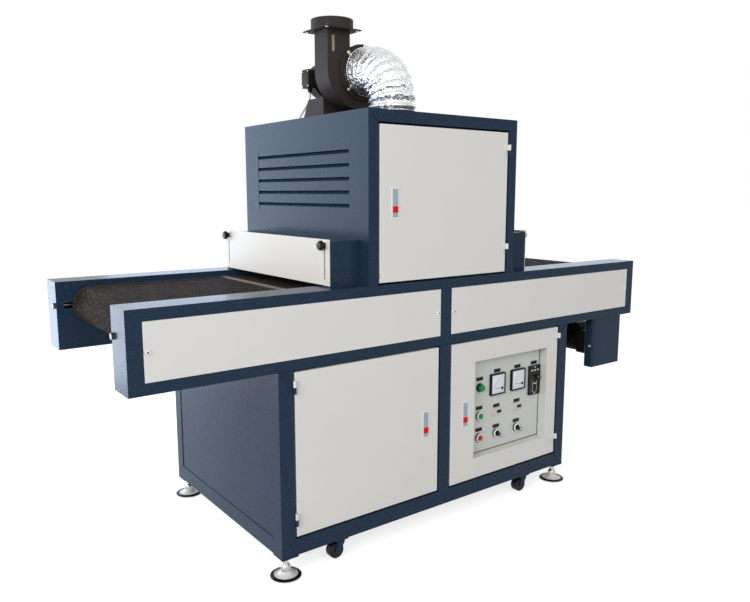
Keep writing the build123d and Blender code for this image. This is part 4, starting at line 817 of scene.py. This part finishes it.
class FitInstruments(bpy.types.Operator):
    """Make the meters, hour counters, speed controller, lamp, buttons and selectors of the panel"""

    bl_idname = "tunnel.fit_instruments"
    bl_label = "Instruments"

    def execute(self, context):
        look = context.scene.tunnel_look
        self.make_meters()
        self.make_counters()
        self.make_speed_controller()
        self.make_switches()
        # Blank plates where the real panel has its captions
        bm = bmesh.new()
        for x, z in (
            (lamp_x, meter_z + 0.030), (meter_x, meter_z + 0.047), (second_x, meter_z + 0.047),
            (speed_x, speed_z + 0.064), (lamp_x, counter_z + 0.028), (meter_x, counter_z + 0.022),
            (second_x, counter_z + 0.022), (lamp_x, switch_z + 0.028), (meter_x, switch_z + 0.025),
            (second_x, switch_z + 0.025),
        ):
            tag = slab(look.tag_size[0], look.tag_size[1], 0.0014, 0.0008, 0.0002, 0.0010, 0.0003)
            join(bm, tag, on_plate(x, z))
        put_piece("caption_plates", bm, "control_door", "instrument", "TagLaminate")
        # Sealing strip where the plate meets the walls of the pan; its dark brown is partly painted shade in
        # that corner
        bm = bmesh.new()
        strip = look.strip_width
        low, high = window_low, window_high
        middle = (low + high) / 2
        for x, z, width, height in (
            (high.x - strip / 2, middle.z, strip, high.z - low.z),
            (low.x + strip / 2, middle.z, strip, high.z - low.z),
            (middle.x, low.z + strip / 2, high.x - low.x, strip),
            (middle.x, high.z - strip / 2, high.x - low.x, strip),
        ):
            join(bm, slab(width, height, 0.0018, 0.0, 0.0006), on_plate(x, z))
        put_piece("pan_seal_shade", bm, "control_door", "instrument", "SealStripShade")
        return {"FINISHED"}

    def make_meters(self):
        """Two square panel meters with a quarter scale round a pivot in the lower right corner."""
        bezels = bmesh.new()
        cards = bmesh.new()
        print_work = bmesh.new()
        for x in (meter_x, second_x):
            bezel = slab(meter_width, meter_height, 0.009, 0.003, 0.001, 0.0045, 0.0025)
            join(bezels, bezel, on_plate(x, meter_z))
            card = slab(meter_width - 2 * bezel_rim, meter_height - 2 * bezel_rim, 0.0006, 0.0, 0.0002)
            join(cards, card, on_plate(x, meter_z, 0.0063))
            pivot = on_plate(x + 0.021, meter_z - 0.017, 0.0068)
            for radius, width in ((scale_radius, 0.0005), (0.0340, 0.0003)):
                join(print_work, scale_arc(radius, width), pivot)
            for tick in range(21):
                length = 0.0045 if tick % 5 == 0 else 0.0028
                mark = slab(length, 0.0004, 0.0003, 0.0, 0.0)
                reach = at(scale_radius + length / 2, 0, 0)
                join(print_work, mark, pivot @ about_z(90 + tick * 4.5) @ reach)
            needle = slab(0.0350, 0.0010, 0.0005, 0.0, 0.0002)
            reach = at(0.0175, 0, 0.0005)
            join(print_work, needle, pivot @ about_z(176) @ reach, 1)
            join(print_work, boss(0.0050, 0.0012, 0.0042, 0.0018, 0.0020, 24), pivot, 1)
        put_piece("meter_bezels", bezels, "control_door", "instrument", "BezelAbs")
        put_piece("meter_cards", cards, "control_door", "dial_card", "DialCard")
        scales = put_piece("meter_scales", print_work, "control_door", "instrument", "ScaleInk", "BezelAbs")
        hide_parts("panel_meters")

    def make_counters(self):
        """Two hour counters: a pale case with a black window of number drums."""
        cases = bmesh.new()
        windows = bmesh.new()
        for x in (meter_x, second_x):
            join(cases, slab(counter_width, counter_height, 0.005, 0.002, 0.0008), on_plate(x, counter_z))
            window = on_plate(x + 0.0100, counter_z, 0.0048)
            join(windows, slab(0.0210, 0.0105, 0.0008, 0.0006, 0.0001, 0.0008, 0.0003), window)
            for drum in range(5):
                face = slab(0.0030, 0.0072, 0.0005, 0.0, 0.0002)
                join(windows, face, window @ at(0.0036 * (drum - 2), 0, 0.0005))
        put_piece("counter_cases", cases, "control_door", "counter_case", "CounterCase")
        put_piece("counter_windows", windows, "control_door", "instrument", "BezelAbs")

    def make_speed_controller(self):
        """The speed controller: a dark plate with a knob in a ring of ticks, keys and a slide."""
        place = on_plate(speed_x, speed_z)
        dial = place @ at(0.004, 0.014, 0.0)
        bm = bmesh.new()
        join(bm, slab(0.058, 0.108, 0.008, 0.002, 0.001, 0.0022, 0.0006), place)
        # The slot of the slide, a black strip on the plate that is painted shade in the opening, and the knob
        join(bm, slab(0.0060, 0.0400, 0.0005, 0.002, 0.0), place @ at(0, -0.022, 0.0073), 1)
        knob = fluted([
            (0.0, 0.0), (0.0098, 0.0), (0.0098, 0.002), (0.0085, 0.003), (0.0080, 0.0105), (0.0070, 0.012),
            (0.0, 0.012),
        ], 10, 0.08, 60)
        join(bm, knob, dial @ at(0, 0, 0.0074), 1)
        plate = put_piece("speed_plate", bm, "control_door", "instrument", "ControllerPlate", "BezelAbs")
        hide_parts("speed_controller")
        # Pale parts: ring of ticks, pointer, keys, slide frame and tab, and two screws
        bm = bmesh.new()
        for tick in range(11):
            mark = slab(0.0020, 0.0005, 0.0002, 0.0, 0.0)
            join(bm, mark, dial @ about_z(-45 + tick * 27) @ at(0.0135, 0, 0.0073))
        pointer = slab(0.0075, 0.0013, 0.0004, 0.0, 0.0)
        join(bm, pointer, dial @ about_z(-35) @ at(0.0035, 0, 0.0194))
        for x in (-0.0150, 0.0, 0.0150):
            join(bm, slab(0.0080, 0.0060, 0.0016, 0.0006, 0.0003), place @ at(x, 0.0370, 0.0073))
        for x, y, width, height in (
            (-0.0110, -0.0220, 0.0014, 0.0400), (0.0110, -0.0220, 0.0014, 0.0400),
            (-0.0068, -0.0426, 0.0070, 0.0014), (0.0068, -0.0426, 0.0070, 0.0014),
        ):
            join(bm, slab(width, height, 0.0004, 0.0, 0.0), place @ at(x, y, 0.0073))
        join(bm, slab(0.0110, 0.0045, 0.0030, 0.0008, 0.0005), place @ at(0, -0.0120, 0.0076))
        for y in (-0.0485, 0.0485):
            join(bm, screw_head(0.0032, 0.0012), place @ at(0, y, 0.0074))
        put_piece("speed_marks", bm, "control_door", "counter_case", "CounterCase")

    def make_switches(self):
        """Signal lamp, start and stop buttons and two selectors."""
        black = bmesh.new()
        rings = bmesh.new()
        green = bmesh.new()
        red = bmesh.new()
        lamp = on_plate(lamp_x, meter_z)
        join(black, boss(switch_radius, 0.0030, 0.0138, 0.0060), lamp)
        ribs = [(0.0, 0.0058), (0.0122, 0.0058)]
        for rib in range(4):
            ribs += [(0.0122, 0.0074 + rib * 0.0024), (0.0115, 0.0086 + rib * 0.0024)]
        ribs += [(0.0112, 0.0170), (0.0095, 0.0182), (0.0, 0.0186)]
        join(green, fluted(ribs, 18, 0.05, 72), lamp)
        for z, caps in ((counter_z, green), (switch_z, red)):
            place = on_plate(lamp_x, z)
            self.add_base(black, rings, place)
            join(caps, turned([
                (0.0, 0.0060), (cap_radius, 0.0060), (cap_radius, 0.0112), (0.0094, 0.0122),
                (0.0080, 0.0118), (0.0, 0.0111),
            ]), place)
        for x in (meter_x, second_x):
            place = on_plate(x, switch_z)
            self.add_base(black, rings, place)
            join(black, boss(cap_radius, 0.0040, 0.0092, 0.0048), place @ at(0, 0, 0.0060))
            aim = place @ about_z(-35)
            lever = slab(0.0300, 0.0098, 0.0120, 0.0040, 0.0014)
            join(black, lever, aim @ at(0.0030, 0, 0.0080))
            line = slab(0.0135, 0.0048, 0.0006, 0.0015, 0.0002)
            join(rings, line, aim @ at(0.0095, 0, 0.0198), 1)
        bases = put_piece("switch_bases", black, "control_door", "black_plastic", "BlackNylon")
        put_piece("switch_rings", rings, "control_door", "chrome", "SatinRing", "DialCard")
        put_piece("green_caps", green, "control_door", "signal_green", "GreenLens")
        put_piece("stop_cap", red, "control_door", "signal_red", "RedCap")
        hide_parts("panel_switches")

    def add_base(self, black, rings, place):
        """The black foot and the bright ring that the buttons and the selectors share."""
        join(black, boss(switch_radius, 0.0050, 0.0142, 0.0060), place)
        join(rings, turned([
            (0.0104, 0.0058), (0.0148, 0.0058), (0.0148, 0.0078), (0.0138, 0.0094), (0.0122, 0.0098),
            (0.0104, 0.0092), (0.0104, 0.0058),
        ], 48), place)


class FitFasteners(bpy.types.Operator):
    """Add the screws, bolts and weld seams that show on the machine"""

    bl_idname = "tunnel.fit_fasteners"
    bl_label = "Screws and seams"

    def execute(self, context):
        panel_low, panel_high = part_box("rail_panels")
        panel_mid = (panel_low.z + panel_high.z) / 2
        inner = panel_inner_end + screw_inset
        outer = panel_high.x - screw_inset
        bm = bmesh.new()
        for x in (-outer, -inner, inner, outer):
            join(bm, screw_head(0.0076, 0.0036, 0.0018), facing(x, panel_low.y, panel_mid, "front"))
            join(bm, screw_head(0.0076, 0.0036, 0.0018), facing(x, panel_high.y, panel_mid, "back"))
        guard_low, guard_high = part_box("drive_guard")
        for x, side in ((guard_low.x, "left"), (guard_high.x, "right")):
            place = facing(x, guard_low.y + 0.014, guard_low.z + 0.083, side)
            join(bm, screw_head(0.0056, 0.0028, 0.0014), place)
        # Their second finish, black, paints shade into the cross recesses
        put_piece("panel_screws", bm, "machine", "zinc", "ScrewZinc", "BezelAbs")
        # Bolts of the blower: four in the inlet ring, four in the outlet flange
        bm = bmesh.new()
        for quarter in range(4):
            turn = radians(45 + 90 * quarter)
            x = fan_x + bolt_circle * cos(turn)
            z = fan_z + bolt_circle * sin(turn)
            join(bm, turned([
                (0.0, 0.0), (0.0064, 0.0), (0.0064, 0.0012), (0.0054, 0.0014), (0.0054, 0.0042),
                (0.0042, 0.0054), (0.0, 0.0058),
            ], 24), facing(x, inlet_ring_y, z, "front"))
        flange_low, flange_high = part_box("outlet_collar")
        for x in (flange_low.x + flange_inset, flange_high.x - flange_inset):
            for y in (flange_low.y + flange_inset, flange_high.y - flange_inset):
                join(bm, screw_head(0.0055, 0.0035, 0.0), facing(x, y, flange_low.z + 0.003, "up"))
                join(bm, screw_head(0.0055, 0.0035, 0.0), facing(x, y, flange_low.z, "down"))
        put_piece("blower_bolts", bm, "machine", "zinc", "BoltBrassy")
        # Ground weld seams across the mitred corners of the door frames
        bm = bmesh.new()
        for low, high, member in ((hood_low, hood_high, hood_member), (base_low, base_high, base_member)):
            for side in (-1, 1):
                corner_x = high.x if side > 0 else low.x
                for level, up in ((low.z, 1), (high.z, -1)):
                    middle = Vector((corner_x - side * member / 2, frame_front, level + up * member / 2))
                    seam = slab(member * 1.30, 0.0080, 0.0030, 0.0036, 0.0029)
                    join(bm, seam, facing(*middle, "front") @ about_z(-45 * side * up))
        put_piece("corner_seams", bm, "machine", "navy_coat", "NavyPowderCoat")
        return {"FINISHED"}


class FitFeet(bpy.types.Operator):
    """Add the corner plates, ball sockets and dark rims of the levelling feet"""

    bl_idname = "tunnel.fit_feet"
    bl_label = "Levelling feet"

    def execute(self, context):
        low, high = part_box("levelling_feet")
        disc = high.y - foot_y
        plates = bmesh.new()
        sockets = bmesh.new()
        rims = bmesh.new()
        for x in (low.x + disc, high.x - disc):
            for y in (-foot_y, foot_y):
                plate = slab(0.054, 0.054, 0.0045, 0.003, 0.0008)
                join(plates, plate, facing(x - 0.002 * x / abs(x), y, base_low.z, "down"))
                foot = facing(x, y, 0.0, "up")
                join(sockets, turned([
                    (0.0, 0.0120), (0.0140, 0.0120), (0.0144, 0.0140), (0.0144, 0.0290), (0.0128, 0.0320),
                    (0.0112, 0.0350), (0.0090, 0.0372), (0.0082, 0.0385), (0.0082, 0.0538), (0.0, 0.0538),
                ], 32), foot)
                join(sockets, turned([
                    (0.0, 0.0534), (0.0150, 0.0534), (0.0156, 0.0542), (0.0156, 0.0596), (0.0, 0.0596),
                ], 6), foot)
                join(rims, turned([
                    (disc - 0.0095, 0.0055), (disc - 0.0058, 0.0046), (disc - 0.0002, 0.0028),
                    (disc - 0.0002, 0.0034), (disc - 0.0010, 0.0040), (disc - 0.0055, 0.0060),
                    (disc - 0.0092, 0.0072), (disc - 0.0099, 0.0067), (disc - 0.0095, 0.0055),
                ], 56), foot)
        put_piece("foot_plates", plates, "machine", "navy_coat", "NavyPowderCoat")
        put_piece("foot_sockets", sockets, "machine", "chrome", "TurnedSteel")
        put_piece("foot_rims", rims, "machine", "black_plastic", "BlackNylon")
        return {"FINISHED"}


class FitKnobs(bpy.types.Operator):
    """Make the lobed hand knobs that clamp the two gates"""

    bl_idname = "tunnel.fit_knobs"
    bl_label = "Gate knobs"

    def execute(self, context):
        low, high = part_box("gate_clamps")
        radius = (high.z - low.z) / 2
        knobs = bmesh.new()
        washers = bmesh.new()
        outline = [
            (0.0, 0.0015), (0.0095, 0.0015), (0.0100, 0.0045), (0.0132, 0.0062), (0.0140, 0.0085),
            (0.0140, 0.0150), (0.0131, 0.0182), (0.0105, 0.0200), (0.0, 0.0204),
        ]
        for x, side in ((gate_low.x, "left"), (-gate_low.x, "right")):
            for y in (low.y + radius, high.y - radius):
                place = facing(x, y, high.z - radius, side)
                join(knobs, fluted(outline, 6, 0.16, 72), place)
                join(washers, boss(0.0125, 0.0014, 0.0118, 0.0018, steps=32), place)
        knob = put_piece("gate_knobs", knobs, "machine", "black_plastic", "BlackNylon")
        put_piece("knob_washers", washers, "machine", "zinc", "ScrewZinc")
        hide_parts("gate_clamps")
        return {"FINISHED"}


class FitMotors(bpy.types.Operator):
    """Add ribs, lid and grille of the motors, screws of the duct bands and a blank label"""

    bl_idname = "tunnel.fit_motors"
    bl_label = "Motor details"

    def execute(self, context):
        # Drive motor: cooling ribs round its body
        low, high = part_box("drive_motor")
        radius = (high.x - low.x) / 2
        outer = radius + 0.0012
        inner = outer - 0.0060
        rib_pitch = 0.0088
        bm = bmesh.new()
        for rib in range(13):
            ring = turned([
                (inner, 0.0), (outer - 0.0006, 0.0), (outer, 0.0006), (outer, 0.0024),
                (outer - 0.0006, 0.0030), (inner, 0.0030), (inner, 0.0),
            ], 56)
            y = high.y - 0.1180 + rib * rib_pitch
            join(bm, ring, facing(low.x + radius, y, low.z + radius, "back"))
        put_piece("drive_motor_ribs", bm, "machine", "motor_black", "MotorEnamel")
        # Fan motor: lid of the terminal box, and the grille in the cowl
        low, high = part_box("blower_motor")
        box_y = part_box("motor_lead")[0].y + 0.0035
        bm = bmesh.new()
        join(bm, slab(0.0620, 0.0480, 0.0022, 0.0070, 0.0008), facing(low.x, box_y, fan_z, "left"))
        for side in (-1, 1):
            for rise in (-1, 1):
                place = facing(low.x - 0.0021, box_y + side * 0.0185, fan_z + rise * 0.0255, "left")
                join(bm, screw_head(0.0026, 0.0012, 0.0008), place, 1)
        cowl = facing(fan_x, high.y, fan_z, "back")
        for inner in (0.0148, 0.0248, 0.0348, 0.0448):
            outer = inner + 0.0024
            join(bm, turned([
                (inner, -0.0004), (outer, -0.0004), (outer, 0.0012), (inner, 0.0012), (inner, -0.0004),
            ], 56), cowl)
        for spoke in range(8):
            bar = slab(0.0360, 0.0030, 0.0016, 0.0, 0.0003)
            join(bm, bar, cowl @ about_z(45 * spoke) @ at(0.0330, 0, -0.0002))
        join(bm, boss(0.0150, 0.0010, 0.0130, 0.0020, 0.0024), cowl)
        put_piece("fan_motor_trim", bm, "machine", "motor_black", "MotorEnamel", "ScrewZinc")
        # Worm-drive housings of the two duct bands
        low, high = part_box("duct_clamps")
        bm = bmesh.new()
        top = facing(fan_x, high.y - 0.005, high.z, "up")
        foot = facing(low.x, low.y + (high.x - low.x) / 2, low.z + 0.005, "left")
        for place, spin in ((top, 0), (foot, 90)):
            join(bm, slab(0.0210, 0.0120, 0.0070, 0.0015, 0.0015), place @ about_z(spin))
            across = place @ about_z(spin) @ at(0.0100, 0, 0.0038)
            head = boss(0.0034, 0.0050, 0.0028, 0.0056, steps=6)
            join(bm, head, across @ Matrix.Rotation(pi / 2, 4, "Y"))
        put_piece("band_screws", bm, "machine", "chrome", "BrightPlating")
        # Blank label on the front of the outlet
        bm = bmesh.new()
        join(bm, slab(0.0100, 0.0520, 0.0005, 0.0010, 0.0001), facing(*label_place, "front"))
        put_piece("blank_label", bm, "machine", "dial_card", "LabelVinyl")
        return {"FINISHED"}


class SetStage(bpy.types.Operator):
    """Set up the floor, the light and the camera of the photograph"""

    bl_idname = "tunnel.set_stage"
    bl_label = "Stage"

    def execute(self, context):
        look = context.scene.tunnel_stage
        scene = context.scene
        # Floor: pale and matt; it looks white to the camera and keeps the shadow
        bm = bmesh.new()
        bmesh.ops.create_grid(bm, x_segments=1, y_segments=1, size=30.0)
        mesh = bpy.data.meshes.new("floor")
        bm.to_mesh(mesh)
        bm.free()
        floor = add_object("floor", mesh)
        material, tree = start_material("PaleFloor")
        glow = add_node(tree, "ShaderNodeMath", {0: seen_rays(tree), 1: 0.75}, operation="MULTIPLY")
        matt = add_node(tree, "ShaderNodeBsdfDiffuse", {"Color": linear("#c4c4c4")})
        light = add_node(tree, "ShaderNodeEmission", {"Color": (1, 1, 1, 1), "Strength": glow.outputs[0]})
        both = add_node(tree, "ShaderNodeAddShader", {0: matt.outputs[0], 1: light.outputs[0]})
        add_node(tree, "ShaderNodeOutputMaterial", {"Surface": both.outputs[0]})
        mesh.materials.append(material)
        # World: even light, and white where it is seen or reflected
        world = bpy.data.worlds.new("Studio")
        scene.world = world
        world.use_nodes = True
        tree = world.node_tree
        tree.nodes.clear()
        air = add_node(tree, "ShaderNodeBackground", {"Color": (1, 1, 1, 1), "Strength": look.ambient})
        white = add_node(tree, "ShaderNodeBackground", {"Color": (1, 1, 1, 1), "Strength": 1.0})
        mixed = add_node(tree, "ShaderNodeMixShader", {
            0: seen_rays(tree), 1: air.outputs[0], 2: white.outputs[0],
        })
        add_node(tree, "ShaderNodeOutputWorld", {"Surface": mixed.outputs[0]})
        # Soft boxes: name, place, size, power, tint
        for name, place, size, power, tint in (
            ("key_light", (-4.8, -2.4, 2.6), 2.6, 146.0, "#fffefc"),
            ("window_light", (-1.6, 2.0, 0.95), 2.1, 56.0, "#d6e6ff"),
            ("front_light", (-0.2, -5.0, 3.2), 2.4, 50.0, "#ffffff"),
            ("rear_light", (0.7, 3.1, 1.5), 1.4, 9.0, "#c8deff"),
            ("end_light", (5.3, 3.1, 1.4), 2.0, 12.0, "#c8deff"),
        ):
            lamp = bpy.data.lights.new(name, "AREA")
            lamp.shape = "SQUARE"
            lamp.size = size
            lamp.energy = power
            lamp.color = linear(tint)[:3]
            box = add_object(name, lamp)
            box.location = place
            box.rotation_euler = (light_aim - Vector(place)).to_track_quat("-Z", "Y").to_euler()
        camera = bpy.data.cameras.new("photo_camera")
        camera.sensor_width = 36.0
        camera.lens = look.lens
        camera.clip_start = 0.05
        camera.clip_end = 100.0
        scene.camera = add_object("photo_camera", camera)
        scene.camera.location = camera_place
        scene.camera.rotation_euler = (pi / 2 - look.pitch, 0.0, -look.azimuth)
        scene.view_settings.view_transform = "Standard"
        return {"FINISHED"}


class TunnelPanel(bpy.types.Panel):
    """Lists the steps that dress the machine"""

    bl_label = "UV curing tunnel"
    bl_idname = "VIEW3D_PT_tunnel"
    bl_space_type = "VIEW_3D"
    bl_region_type = "UI"
    bl_category = "Tunnel"

    def draw(self, context):
        for group in GROUPS:
            settings = getattr(context.scene, group)
            for name in settings.__annotations__:
                self.layout.prop(settings, name)
        for step in STEPS:
            self.layout.operator(step.bl_idname)


STEPS = (
    CoatParts, WeaveBelt, CrushDuct, FitLatches, FitInstruments, FitFasteners, FitFeet, FitKnobs, FitMotors,
    SetStage,
)
GROUPS = {"tunnel_look": TunnelLook, "tunnel_duct": DuctLook, "tunnel_stage": StageLook}


def register():
    for name, group in GROUPS.items():
        bpy.utils.register_class(group)
        setattr(bpy.types.Scene, name, bpy.props.PointerProperty(type=group))
    for step in STEPS:
        bpy.utils.register_class(step)
    bpy.utils.register_class(TunnelPanel)


def unregister():
    bpy.utils.unregister_class(TunnelPanel)
    for step in reversed(STEPS):
        bpy.utils.unregister_class(step)
    for name, group in GROUPS.items():
        delattr(bpy.types.Scene, name)
        bpy.utils.unregister_class(group)


def main():
    """Dresses the machine."""
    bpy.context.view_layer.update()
    register()
    for step in STEPS:
        group, name = step.bl_idname.split(".")
        getattr(getattr(bpy.ops, group), name)()


if __name__ == "__main__":
    main()
